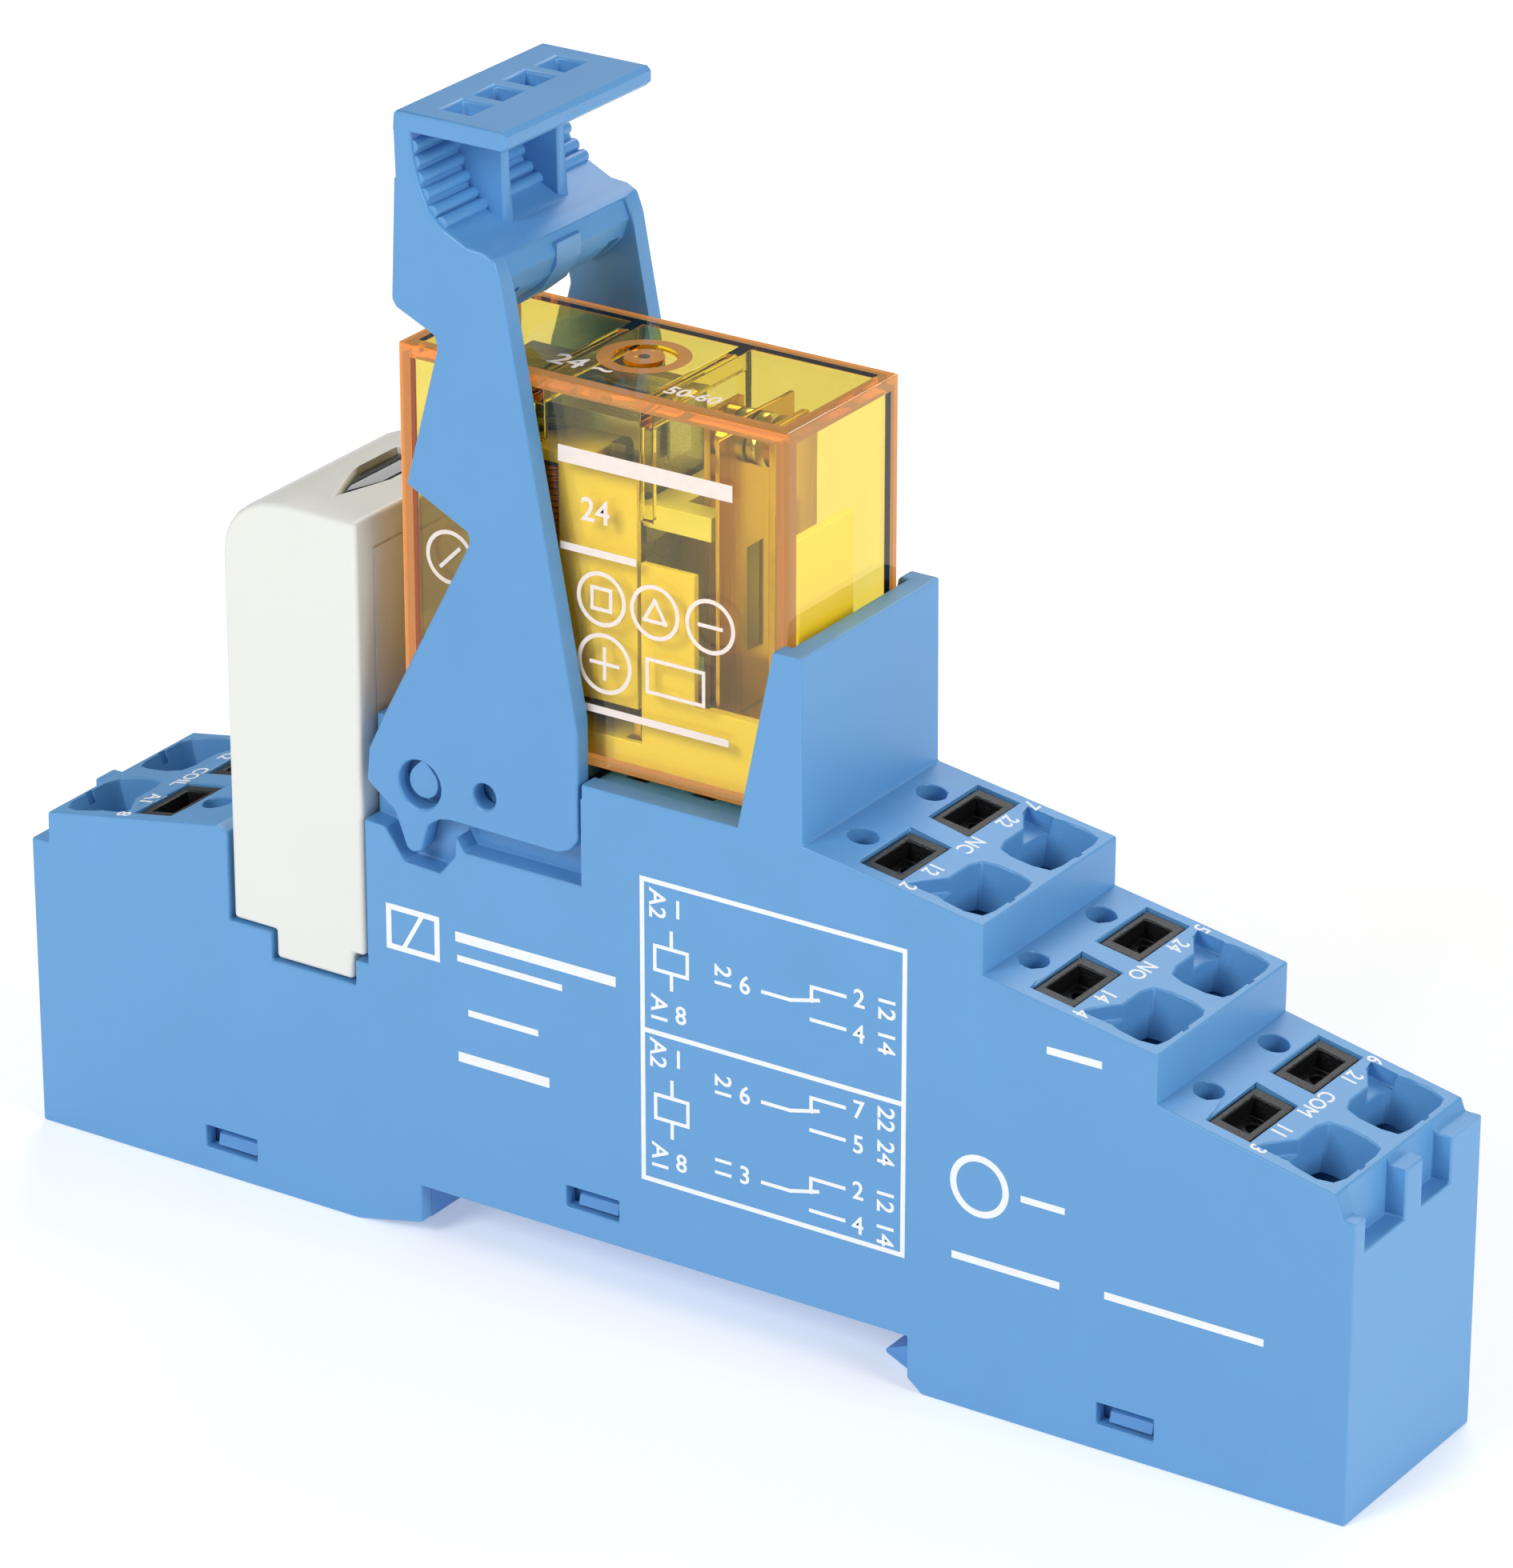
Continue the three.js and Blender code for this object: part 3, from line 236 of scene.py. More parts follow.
def clear(name, rgb, roughness, absorbed, thickness, ior=1.58, see_through=1.0, glow=0.0):
    """Clear tinted polycarbonate: polished, and darker the further light runs inside it.

    absorbed is the colour left after thickness millimetres, which is what makes a wall seen
    edge-on deeper in colour than the same wall seen face-on. The lamps' light passes
    straight through, so that what is inside is lit.
    """
    material, tree = new_material(name)
    place = add_node(tree, "ShaderNodeTexCoord").outputs["Object"]
    waves = add_node(tree, "ShaderNodeTexNoise", {
        "Vector": place, "Scale": 1 / (POLISH_WAVE * MM), "Detail": 1.0})
    relief = add_node(tree, "ShaderNodeBump", {
        "Strength": 0.25, "Distance": POLISH_RELIEF * MM, "Height": waves.outputs["Fac"]})
    losses = [-math.log(max(c, LEAST_LEFT)) / (thickness * MM) for c in absorbed]
    density = max(losses)
    inside = add_node(tree, "ShaderNodeVolumeAbsorption", {
        "Color": (*[1 - loss / density for loss in losses], 1.0), "Density": density})
    # glow is painted light: the surface gives off light of its own in its colour
    glass = add_node(tree, "ShaderNodeBsdfPrincipled", {
        "Base Color": (*rgb, 1.0), "Roughness": roughness, "IOR": ior,
        "Transmission Weight": see_through, "Normal": relief.outputs["Normal"],
        "Emission Color": (*rgb, 1.0), "Emission Strength": glow})
    straight = add_node(tree, "ShaderNodeBsdfTransparent", {
        "Color": (*[math.sqrt(c) for c in absorbed], 1.0)})
    rays = add_node(tree, "ShaderNodeLightPath")
    both = add_node(tree, "ShaderNodeMixShader", {
        0: rays.outputs["Is Shadow Ray"], 1: glass.outputs["BSDF"], 2: straight.outputs["BSDF"]})
    add_node(tree, "ShaderNodeOutputMaterial", {
        "Surface": both.outputs["Shader"], "Volume": inside.outputs["Volume"]})
    return material


def print_ink(name, rgb):
    """Pad-printed ink: matt and nearly solid, a little thin where the pad lifted."""
    material, tree = new_material(name)
    place = add_node(tree, "ShaderNodeTexCoord").outputs["Object"]
    thin = add_node(tree, "ShaderNodeTexNoise", {
        "Vector": place, "Scale": 1 / (INK_PATCH * MM), "Detail": 3.0})
    tint = add_node(tree, "ShaderNodeMix", {
        MIX_FACTOR: thin.outputs["Fac"], MIX_A: shade(rgb, 0.9), MIX_B: shade(rgb, 1.02)},
        data_type="RGBA")
    ink = add_node(tree, "ShaderNodeBsdfPrincipled", {
        "Base Color": tint.outputs[MIX_RESULT], "Roughness": 0.6, "IOR": 1.48})
    add_node(tree, "ShaderNodeOutputMaterial", {"Surface": ink.outputs["BSDF"]})
    return material


# ------------------------------------------------------------------ finishes
def colours():
    return bpy.context.scene.relay_colours


def sizes():
    return bpy.context.scene.relay_sizes


def socket_polyamide():
    # glass-filled polyamide from a spark-eroded mould: satin, with a very fine grain
    return moulded("socket_polyamide", colours().socket, 0.42, 0.3, 0.012)


def cover_polyamide():
    # the same polyamide, a little smoother where it is out of sight
    return moulded("cover_polyamide", colours().cover, 0.45, 0.3, 0.012)


def clip_polyamide():
    # unfilled polyamide that has to flex: smoother than the socket, softer highlights
    return moulded("clip_polyamide", colours().clip, 0.36, 0.45, 0.01)


def button_nylon():
    # glass-filled nylon with the fibre ends showing: black and coarse, its sparkle a painted glint
    # on the pale fibre ends at the grain's tops; the grain is drawn at twice its real width so that it shows
    return moulded("button_nylon", colours().button, 0.45, 0.2, 0.05, mottle=0.15, glint_speck=0.09)


def case_plastic():
    # ABS blend, smooth satin, warm off-white
    return moulded("module_case_abs", colours().case, 0.38, 0.4, 0.006, mottle=0.012)


def lens_polycarbonate():
    # smoke-tinted polycarbonate with a dark cavity behind it
    return clear("smoked_polycarbonate", colours().smoke, 0.08, (0.25, 0.23, 0.21), 2.0)


# the colour left by one wall of the cover, that wall's thickness, and the width of the strip along each outer
# face's border that is painted with an orange glow for a wall's end seen beside it, in millimetres
AMBER_LEFT = (0.97, 0.915, 0.43)
COVER_WALL = 0.9
EDGE_GLOW_STRIP = 0.9


def amber_polycarbonate():
    # amber polycarbonate: yellow through one wall, orange where a wall is seen edge-on
    return clear("amber_polycarbonate", colours().amber, 0.02, AMBER_LEFT, COVER_WALL)


def amber_edge_painted_glow():
    # the same plate where it is looked at along its length; where the real plate gathers light and glows orange,
    # this one is painted with an orange glow of its own
    return clear("amber_polycarbonate_painted_edge_glow", colours().amber_edge_painted_glow, 0.06, AMBER_LEFT, COVER_WALL,
                 see_through=0.8, glow=0.26)


def straw_polyester():
    # unpigmented polyester, straw-coloured and slightly glossy
    return moulded("straw_polyester", colours().straw, 0.35, 0.4, 0.006)


def tinned_copper():
    # dull tin over stamped copper
    return rolled("tinned_copper", colours().tin, 0.34, (0, 0, 1))


def coil_wire():
    # copper wire under a clear enamel
    return rolled("enamelled_copper_wire", colours().copper, 0.28, (1, 1, 0), grain=0.4)


def contact_brass():
    # spring brass strip, rolled along its height
    return rolled("contact_brass", colours().brass, 0.22, (0, 0, 1))


def contact_silver():
    # silver alloy contact buttons, coined smooth
    return rolled("contact_silver", colours().silver, 0.2, (0, 1, 0))


def spring_steel():
    # stainless spring strip
    return rolled("stainless_spring_strip", colours().steel, 0.25, (1, 0, 0))


def nickelled_iron():
    # soft iron under a thin nickel plating
    return rolled("nickelled_iron", colours().iron, 0.24, (1, 0, 0))


def board_laminate():
    # glass-epoxy board under a green solder mask; the weave shows faintly
    return moulded("board_laminate", colours().board, 0.3, 0.5, 0.02, mottle=0.12)


def lamp_epoxy():
    # clear green epoxy body of the indicator lamp
    return clear("lamp_epoxy", colours().lamp, 0.15, (0.5, 0.85, 0.45), 2.0, ior=1.5)


FINISHES = {
    "blue_housing": socket_polyamide,
    "blue_cover": cover_polyamide,
    "blue_clip": clip_polyamide,
    "black_button": button_nylon,
    "white_case": case_plastic,
    "smoke_lens": lens_polycarbonate,
    "amber_clear": amber_polycarbonate,
    "straw_plastic": straw_polyester,
    "tinned_copper": tinned_copper,
    "enamelled_copper": coil_wire,
    "brass": contact_brass,
    "contact_silver": contact_silver,
    "spring_steel": spring_steel,
    "soft_iron": nickelled_iron,
    "board_green": board_laminate,
    "lamp_green": lamp_epoxy,
}
made_finishes = {}


def finish(slot):
    """The material of one of the record's slots, made when it is first needed."""
    if slot not in made_finishes:
        made_finishes[slot] = FINISHES[slot]()
    return made_finishes[slot]


# ------------------------------------------------------------------ mesh helpers
WELD = 0.002 * MM
FLAT = math.radians(0.4)
SHARP = math.radians(40)
TURNS = math.radians(28)

# the room that a rounding needs along and across its edge, and how far around a fold the
# edges stay sharp, one try after the other; all in radii of the rounding
ROOM_ALONG = 1.2
ROOM_ACROSS = 2.2
FOLD_REACHES = (1.6, 1.6, 2.0, 2.4, 2.8, 3.2, 3.6, 4.0)


def slot_of(node):
    return next(p["material_slot"] for p in frame["record"]["subparts"] if p["node"] == node)


def body_of(node):
    return next(body for body, nodes in frame["record"]["behaviour"]["bodies"].items()
                if node in nodes)


def clean_copy(node):
    """A CAD node's mesh with its doubles merged and its coplanar triangles joined."""
    bm = bmesh.new()
    bm.from_mesh(frame["nodes"][node].data)
    bmesh.ops.remove_doubles(bm, verts=bm.verts, dist=WELD)
    bmesh.ops.dissolve_limit(
        bm, angle_limit=FLAT, verts=bm.verts, edges=bm.edges, use_dissolve_boundaries=False)
    return bm


def wide_enough(edge, radius):
    """Whether the faces beside an edge, and the edge itself, have room for the rounding."""
    run = edge.calc_length()
    return run > ROOM_ALONG * radius and all(
        face.calc_area() / run > ROOM_ACROSS * radius for face in edge.link_faces)


def folds(bm):
    """The points at which a face's outline crosses itself."""
    found = []
    for face in bm.faces:
        corners = [v.co for v in face.verts]
        upright = face.normal.to_track_quat("Z", "Y")
        outline = [(upright.inverted() @ corner).xy for corner in corners]
        height = (upright.inverted() @ corners[0]).z
        sides = list(zip(outline, outline[1:] + outline[:1]))
        for i, side in enumerate(sides):
            for other in sides[i + 2:len(sides) - (i == 0)]:
                meeting = intersect_line_line_2d(*side, *other)
                if meeting:
                    found.append(upright @ Vector((*meeting, height)))
    return found


def near_fold(edge, points, reach):
    """Whether an edge passes within reach of one of the points."""
    start, end = (v.co for v in edge.verts)
    for point in points:
        foot, share = intersect_point_line(point, start, end)
        nearest = start.lerp(end, min(max(share, 0), 1))
        if (point - nearest).length < reach:
            return True
    return False


def bevelled(bm, edges, radius, segments):
    """A copy of the bmesh with the edges of these numbers rounded."""
    made = bm.copy()
    made.edges.ensure_lookup_table()
    bmesh.ops.bevel(
        made, geom=[made.edges[i] for i in edges], offset=radius, offset_type="OFFSET",
        affect="EDGES", segments=segments, profile=0.5, material=-1, clamp_overlap=False)
    return made


def round_edges(bm, radius, segments):
    """Rounds the edges where the surface turns. The bmesh is freed and a new one returned.

    An edge without room for it, or whose rounding would fold a face, stays sharp.
    """
    bm.edges.index_update()
    bm.edges.ensure_lookup_table()
    chosen = [e.index for e in bm.edges if len(e.link_faces) == 2
              and e.calc_face_angle() > TURNS and wide_enough(e, radius)]
    made = bevelled(bm, chosen, radius, segments)
    for reach in FOLD_REACHES:
        points = folds(made)
        if not points:
            break
        made.free()
        chosen = [i for i in chosen if not near_fold(bm.edges[i], points, reach * radius)]
        made = bevelled(bm, chosen, radius, segments)
    bm.free()
    return made


def add_piece(bm, name, material, body):
    """Turns a bmesh into a smooth-shaded piece that rides on a body."""
    for edge in bm.edges:
        edge.smooth = len(edge.link_faces) == 2 and edge.calc_face_angle() < SHARP
    for face in bm.faces:
        face.smooth = True
    mesh = bpy.data.meshes.new(name)
    bm.to_mesh(mesh)
    bm.free()
    mesh.materials.append(material)
    piece = bpy.data.objects.new(name, mesh)
    bpy.context.scene.collection.objects.link(piece)
    normals = piece.modifiers.new("flat_face_normals", "WEIGHTED_NORMAL")
    normals.keep_sharp = True
    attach(piece, body)
    return piece


def stand_for(bm, name, node):
    """Makes the bmesh a piece that stands for a CAD node: its body, slot and finish."""
    slot = slot_of(node)
    piece = add_piece(bm, name, finish(slot), body_of(node))
    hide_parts(node)
    return piece


def finished_copy(name, node, radius, segments=2):
    """A CAD node's shape with rounded edges and its finish."""
    return stand_for(round_edges(clean_copy(node), radius, segments), name, node)


# ------------------------------------------------------------------ print
# text size and line widths in millimetres, and how far letters swell, as a share of their size
TEXT_SIZE = 1.75
THIN_LINE = 0.25
FRAME_LINE = 0.33
LETTER_WEIGHT = 0.014
# lines take turns at this many heights, each lower than the last by this share
LINE_HEIGHTS = 7
HEIGHT_STEP = 0.05
INK_WELD = 0.0005 * MM


class Ink:
    """Print on one plane. Marks are placed in millimetres from the plane's origin."""

    def __init__(self, plane):
        self.bm = bmesh.new()
        self.plane = plane
        self.height = sizes().ink
        self.lines = 0

    def at(self, x, y, turn=0.0):
        return self.plane @ Matrix.Translation((x * MM, y * MM, 0)) @ Matrix.Rotation(turn, 4, "Z")

    def text(self, body, x, y, size=TEXT_SIZE, turn=0.0):
        """Numbers and terminal names, centred on a point."""
        letters = bpy.data.curves.new("letters", "FONT")
        letters.body = body
        letters.size = size * MM
        letters.align_x = "CENTER"
        letters.align_y = "CENTER"
        letters.offset = LETTER_WEIGHT * size * MM
        letters.extrude = self.height
        letters.resolution_u = 3
        carrier = bpy.data.objects.new("letters", letters)
        mesh = bpy.data.meshes.new_from_object(carrier)
        mesh.transform(self.at(x, y, turn))
        self.bm.from_mesh(mesh)
        bpy.data.objects.remove(carrier)
        bpy.data.meshes.remove(mesh)
        bpy.data.curves.remove(letters)

    def line(self, start, end, width=THIN_LINE):
        """A straight line with its ends half a width past the points.

        Lines that cross differ a little in height, so that no two faces share a plane.
        """
        run = Vector(end) - Vector(start)
        middle = (Vector(end) + Vector(start)) / 2
        self.lines += 1
        depth = 2 * self.height * (1 - HEIGHT_STEP * (self.lines % LINE_HEIGHTS))
        stretch = Matrix.Diagonal(((run.length + width) * MM, width * MM, depth, 1))
        turn = math.atan2(run.y, run.x)
        bmesh.ops.create_cube(self.bm, size=1, matrix=self.at(*middle, turn) @ stretch)

    def path(self, points, width=THIN_LINE):
        for start, end in zip(points, points[1:]):
            self.line(start, end, width)

    def outline(self, low, high, width=THIN_LINE):
        (x0, y0), (x1, y1) = low, high
        self.path([(x0, y0), (x1, y0), (x1, y1), (x0, y1), (x0, y0)], width)

    def ring(self, x, y, radius, width=THIN_LINE, steps=40):
        """A round line, spun from its square section."""
        section = bmesh.ops.create_cube(
            self.bm, size=1, matrix=self.at(x + radius, y)
            @ Matrix.Diagonal((width * MM, 0.001 * MM, 2 * self.height, 1)))["verts"]
        face = max({f for v in section for f in v.link_faces}, key=lambda f: f.calc_area())
        loose = [f for f in {f for v in section for f in v.link_faces} if f != face]
        bmesh.ops.delete(self.bm, geom=loose, context="FACES_KEEP_BOUNDARY")
        axis = self.plane.to_3x3() @ Vector((0, 0, 1))
        bmesh.ops.spin(
            self.bm, geom=[face, *face.edges, *face.verts], cent=self.at(x, y).translation,
            axis=axis, angle=math.tau, steps=steps, use_merge=True)

    def piece(self, name, material, body):
        bmesh.ops.remove_doubles(self.bm, verts=self.bm.verts, dist=INK_WELD)
        bmesh.ops.recalc_face_normals(self.bm, faces=self.bm.faces)
        return add_piece(self.bm, name, material, body)


def plane(origin, right, up):
    """A plane's matrix: x to the right, y up, and z out of the surface."""
    right, up = Vector(right), Vector(up)
    columns = Matrix((right, up, right.cross(up))).transposed()
    return Matrix.Translation(origin) @ columns.to_4x4()


def coil_symbol(ink, drop):
    """The coil between its two pins, with the pin and terminal names above and below."""
    ink.text("A2", 50.1, 28.85 - drop, turn=-math.pi / 2)
    ink.text("1", 51.7, 28.75 - drop)
    ink.path([(51.2, 27.1 - drop), (51.2, 25.95 - drop)])
    ink.outline((49.95, 24.3 - drop), (52.4, 25.95 - drop))
    ink.path([(51.2, 24.3 - drop), (51.2, 23.2 - drop)])
    ink.text("A1", 50.2, 21.55 - drop, turn=-math.pi / 2)
    ink.text("8", 51.9, 21.5 - drop)


def contact_symbol(ink, drop, common, closed, opened):
    """A changeover contact; each of its three ends has a terminal and a pin number."""
    quarter = -math.pi / 2
    ink.text(common[0], 55.0, 25.05 - drop, turn=quarter)
    ink.text(common[1], 56.7, 24.9 - drop)
    ink.path([(58.05, 24.85 - drop), (60.1, 24.85 - drop), (62.15, 25.35 - drop)])
    ink.path([(61.65, 25.2 - drop), (61.65, 26.15 - drop), (64.1, 26.15 - drop)])
    ink.path([(61.65, 23.9 - drop), (64.1, 23.9 - drop)])
    ink.text(closed[1], 65.15, 26.2 - drop)
    ink.text(opened[1], 65.15, 23.8 - drop)
    ink.text(closed[0], 67.1, 26.15 - drop, turn=quarter)
    ink.text(opened[0], 67.1, 23.8 - drop, turn=quarter)


def wiring_diagram(ink):
    """The framed circuit: one changeover contact above, two below."""
    ink.outline((49.0, 9.45), (68.45, 30.35), FRAME_LINE)
    ink.line((49.0, 19.9), (68.45, 19.9), FRAME_LINE)
    coil_symbol(ink, 0)
    contact_symbol(ink, 0, ("21", "6"), ("12", "2"), ("14", "4"))
    coil_symbol(ink, 10.38)
    contact_symbol(ink, 7.64, ("21", "6"), ("22", "7"), ("24", "5"))
    contact_symbol(ink, 13.26, ("11", "3"), ("12", "2"), ("14", "4"))


def plain_marks(ink):
    """Neutral marks in place of words: a relay symbol and short bars."""
    ink.outline((29.3, 20.6), (33.1, 23.4), 0.4)
    ink.line((30.4, 20.6), (32.0, 23.4), 0.3)
    ink.line((34.9, 22.6), (46.6, 22.6), 0.7)
    ink.line((34.9, 21.1), (42.6, 21.1), 0.45)
    ink.line((35.7, 17.4), (40.7, 17.4), 0.45)
    ink.line((35.0, 14.1), (41.4, 14.1), 0.7)
    ink.line((78.9, 26.4), (82.3, 26.4), 0.5)
    ink.line((72.3, 10.6), (79.6, 10.6), 0.5)
    ink.line((83.3, 10.9), (94.0, 10.9), 0.5)
    ink.ring(74.0, 15.8, 1.9, 0.45)
    ink.line((77.2, 15.8), (79.9, 15.8), 0.45)


def front_print():
    ink = Ink(plane(SOCKET_LOW, (1, 0, 0), (0, 0, 1)))
    wiring_diagram(ink)
    plain_marks(ink)
    return ink.piece("front_print", finish_ink(), "socket")


BACK_SHIFT = 14.3    # millimetres


def back_print():
    """The wiring diagram again, further right so that it clears the clip's recess."""
    origin = (SOCKET_HIGH.x + BACK_SHIFT * MM, SOCKET_HIGH.y, SOCKET_LOW.z)
    ink = Ink(plane(origin, (-1, 0, 0), (0, 0, 1)))
    wiring_diagram(ink)
    return ink.piece("back_print", finish_ink(), "socket")


inks = {}


def finish_ink(on_cover=False):
    """The white print: warmer on the clear cover, where the amber shows through it."""
    if on_cover not in inks:
        inks[on_cover] = (print_ink("cover_print", colours().cover_ink) if on_cover
                          else print_ink("socket_print", colours().ink))
    return inks[on_cover]


DECK_LABELS = {
    # front terminal: pin, terminal, circuit, terminal, pin, from front to back
    "a1": ("8", "A1", "COIL", "A2", "1"),
    "12": ("2", "12", "NC", "22", "7"),
    "14": ("4", "14", "NO", "24", "5"),
    "11": ("3", "11", "COM", "21", "6"),
}
# millimetres: along the row, how deep a button stands in its deck, and from a button's edge
# to the row's middle
LABEL_PLACES = (-7.2, -4.3, 0.0, 4.3, 7.2)
BUTTON_SINK = 0.15
LABEL_OFFSET = 0.77
LABEL_SIZE = 1.5


def deck_plane(terminal):
    """The plane of a deck's row of labels, read from the socket's left end."""
    axis = next(j["axis"] for j in frame["joints"] if j["name"] == "press_" + terminal)
    out = -Vector(axis).normalized()
    along = Vector((0, 1, 0)).cross(out)
    low_side = math.copysign(1, out.x)
    corners = [v.co for v in frame["nodes"]["push_button_" + terminal].data.vertices]
    edge = low_side * max(low_side * corner.dot(along) for corner in corners)
    height = max(corner.dot(out) for corner in corners) + BUTTON_SINK * MM
    origin = along * (edge + low_side * LABEL_OFFSET * MM) + out * height
    return plane(origin, (0, -1, 0), along)


def deck_print(terminal, labels):
    ink = Ink(deck_plane(terminal))
    for text, y in zip(labels, LABEL_PLACES):
        ink.text(text, -y, 0, size=LABEL_SIZE)
    return ink.piece("deck_print_" + terminal, finish_ink(), "socket")


# ------------------------------------------------------------------ pieces
TERMINALS = ("a1", "a2", "12", "22", "14", "24", "11", "21")


def clamp_spring(terminal):
    """The bent leaf under a button, finished with a mesh of its own; the button's foot flattens the real one as it
    goes in.
    """
    piece = finished_copy("wire_clamp_" + terminal, "clamp_spring_" + terminal,
                          sizes().strip_edge)
    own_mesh(piece)
    return piece


def latch_spring(turns=6, wire=0.16, steps=20):
    """A helical compression spring between the latch and its stop."""
    low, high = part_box("rail_latch_spring")
    middle = (low + high) / 2
    radius = (high.z - low.z) / 2 - wire * MM
    run = high.x - low.x - 2 * wire * MM
    bm = bmesh.new()
    start = Matrix.Translation((low.x + wire * MM, middle.y, middle.z + radius))
    section = bmesh.ops.create_circle(
        bm, radius=wire * MM, segments=8, cap_ends=True,
        matrix=start @ Matrix.Rotation(math.pi / 2, 4, "X"))["verts"]
    face = section[0].link_faces[0]
    bmesh.ops.spin(
        bm, geom=[face, *face.edges, *section], cent=(low.x, middle.y, middle.z),
        axis=(1, 0, 0), dvec=(run / (turns * steps), 0, 0), angle=turns * math.tau,
        steps=turns * steps)
    bmesh.ops.recalc_face_normals(bm, faces=bm.faces)
    piece = stand_for(bm, "latch_coil_spring", "rail_latch_spring")
    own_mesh(piece)
    return piece


# one turn's outline: how far in from the outside and how far up, in wire pitches
TURN_OUTLINE = ((0.2, 0.06), (0.0, 0.32), (0.0, 0.68), (0.2, 0.94))
BORE_SHARE = 0.62


def coil_winding(steps=48):
    """The coil as a stack of round turns, spun about the core's axis."""
    low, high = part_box("coil_winding")
    middle = (low + high) / 2
    radius = (high.x - low.x) / 2
    bore = BORE_SHARE * radius
    pitch = sizes().wire_pitch
    turns = int((high.z - low.z) / pitch)
    profile = [(bore, low.z)]
    for turn in range(turns):
        base = low.z + turn * pitch
        profile += [(radius - deep * pitch, base + up * pitch) for deep, up in TURN_OUTLINE]
    profile.append((bore, low.z + turns * pitch))
    bm = bmesh.new()
    points = [bm.verts.new((middle.x + r, middle.y, z)) for r, z in profile]
    edges = [bm.edges.new(pair) for pair in zip(points, points[1:] + points[:1])]
    bmesh.ops.spin(bm, geom=[*points, *edges], cent=middle, axis=(0, 0, 1), angle=math.tau,
                   steps=steps, use_merge=True)
    bmesh.ops.remove_doubles(bm, verts=bm.verts, dist=WELD)
    bmesh.ops.recalc_face_normals(bm, faces=bm.faces)
    return stand_for(bm, "coil_turns", "coil_winding")


# how closely a face has to match one of the cover's outer planes, in turn and in place
FACING = 0.99
ON_PLANE = 0.01 * MM


def paint_edge_glow_strips(bm):
    """Insets the cover's outer faces, and gives the strips along their borders the painted orange glow of a wall's
    end seen edge-on.
    """
    planes = [(0, COVER_LOW.x), (0, COVER_HIGH.x), (1, COVER_LOW.y), (1, COVER_HIGH.y),
              (2, COVER_HIGH.z)]
    for axis, place in planes:
        outer = [f for f in bm.faces if abs(f.normal[axis]) > FACING
                 and abs(f.calc_center_median()[axis] - place) < ON_PLANE]
        strips = bmesh.ops.inset_region(
            bm, faces=outer, thickness=EDGE_GLOW_STRIP * MM, use_even_offset=True)["faces"]
        for face in strips:
            face.material_index = 1


def cover_front_print():
    """Neutral marks on the front of the clear cover, where the maker's words would be."""
    ink = Ink(plane(COVER_LOW, (1, 0, 0), (0, 0, 1)))
    for start, end in ((12.6, 16.4), (17.4, 19.6), (20.6, 24.4)):
        ink.line((start, 20.6), (end, 20.6), 1.1)
    ink.text("24", 14.8, 17.2, size=2.2)
    ink.line((12.4, 14.5), (17.6, 14.5), 0.5)
    for x, y, radius in ((3.7, 11.7, 1.7), (15.2, 11.5, 1.7), (19.2, 11.5, 1.7),
                         (23.3, 11.5, 1.7), (15.4, 7.2, 1.9)):
        ink.ring(x, y, radius, 0.28)
    ink.outline((14.5, 10.8), (15.9, 12.2))
    ink.path([(18.4, 10.9), (20.0, 10.9), (19.2, 12.3), (18.4, 10.9)])
    ink.line((22.5, 11.5), (24.1, 11.5))
    ink.line((14.4, 7.2), (16.4, 7.2))
    ink.line((15.4, 6.2), (15.4, 8.2))
    ink.line((3.0, 11.0), (4.4, 12.4))
    ink.outline((18.6, 6.1), (22.8, 8.3))
    ink.line((13.6, 4.0), (24.4, 4.0), 0.5)
    return ink.piece("cover_front_print", finish_ink(on_cover=True), "relay")


def cover_top_print():
    ink = Ink(plane((COVER_LOW.x, COVER_LOW.y, COVER_HIGH.z), (1, 0, 0), (0, 1, 0)))
    ink.text("24 ~", 11.9, 2.9, size=2.4)
    ink.text("50-60", 20.6, 2.2, size=1.7)
    return ink.piece("cover_top_print", finish_ink(on_cover=True), "relay")


# ------------------------------------------------------------------ stage
FLOOR_REACH = 3.0
# a little light of its own keeps the floor white
FLOOR_GLOW = 0.3
SKY_STRENGTH = 0.28
LIGHT_TARGET = (0, 0, 0.03)
SOFT_LIGHTS = (
    # name, place and side in metres, power in watts
    ("key_box", (-0.25, -0.85, 0.6), 0.4, 5.2),
    ("side_box", (0.9, -0.1, 0.45), 0.4, 4.7),
    ("back_box", (-0.2, 0.7, 0.8), 0.6, 4),
)


def studio_floor():
    bm = bmesh.new()
    bmesh.ops.create_grid(bm, x_segments=8, y_segments=8, size=FLOOR_REACH)
    mesh = bpy.data.meshes.new("studio_floor")
    bm.to_mesh(mesh)
    bm.free()
    material, tree = new_material("painted_board")
    place = add_node(tree, "ShaderNodeTexCoord").outputs["Object"]
    roller = add_node(tree, "ShaderNodeTexNoise", {
        "Vector": place, "Scale": 1 / (ROLLER_MARK * MM)})
    tint = add_node(tree, "ShaderNodeMix", {
        MIX_FACTOR: roller.outputs["Fac"], MIX_A: shade(colours().floor, 0.99),
        MIX_B: shade(colours().floor, 1.01)}, data_type="RGBA")
    paint = add_node(tree, "ShaderNodeBsdfPrincipled", {
        "Base Color": tint.outputs[MIX_RESULT], "Roughness": 0.9,
        "Emission Color": (1.0, 1.0, 1.0, 1.0), "Emission Strength": FLOOR_GLOW})
    add_node(tree, "ShaderNodeOutputMaterial", {"Surface": paint.outputs["BSDF"]})
    mesh.materials.append(material)
    floor = bpy.data.objects.new("studio_floor", mesh)
    bpy.context.scene.collection.objects.link(floor)


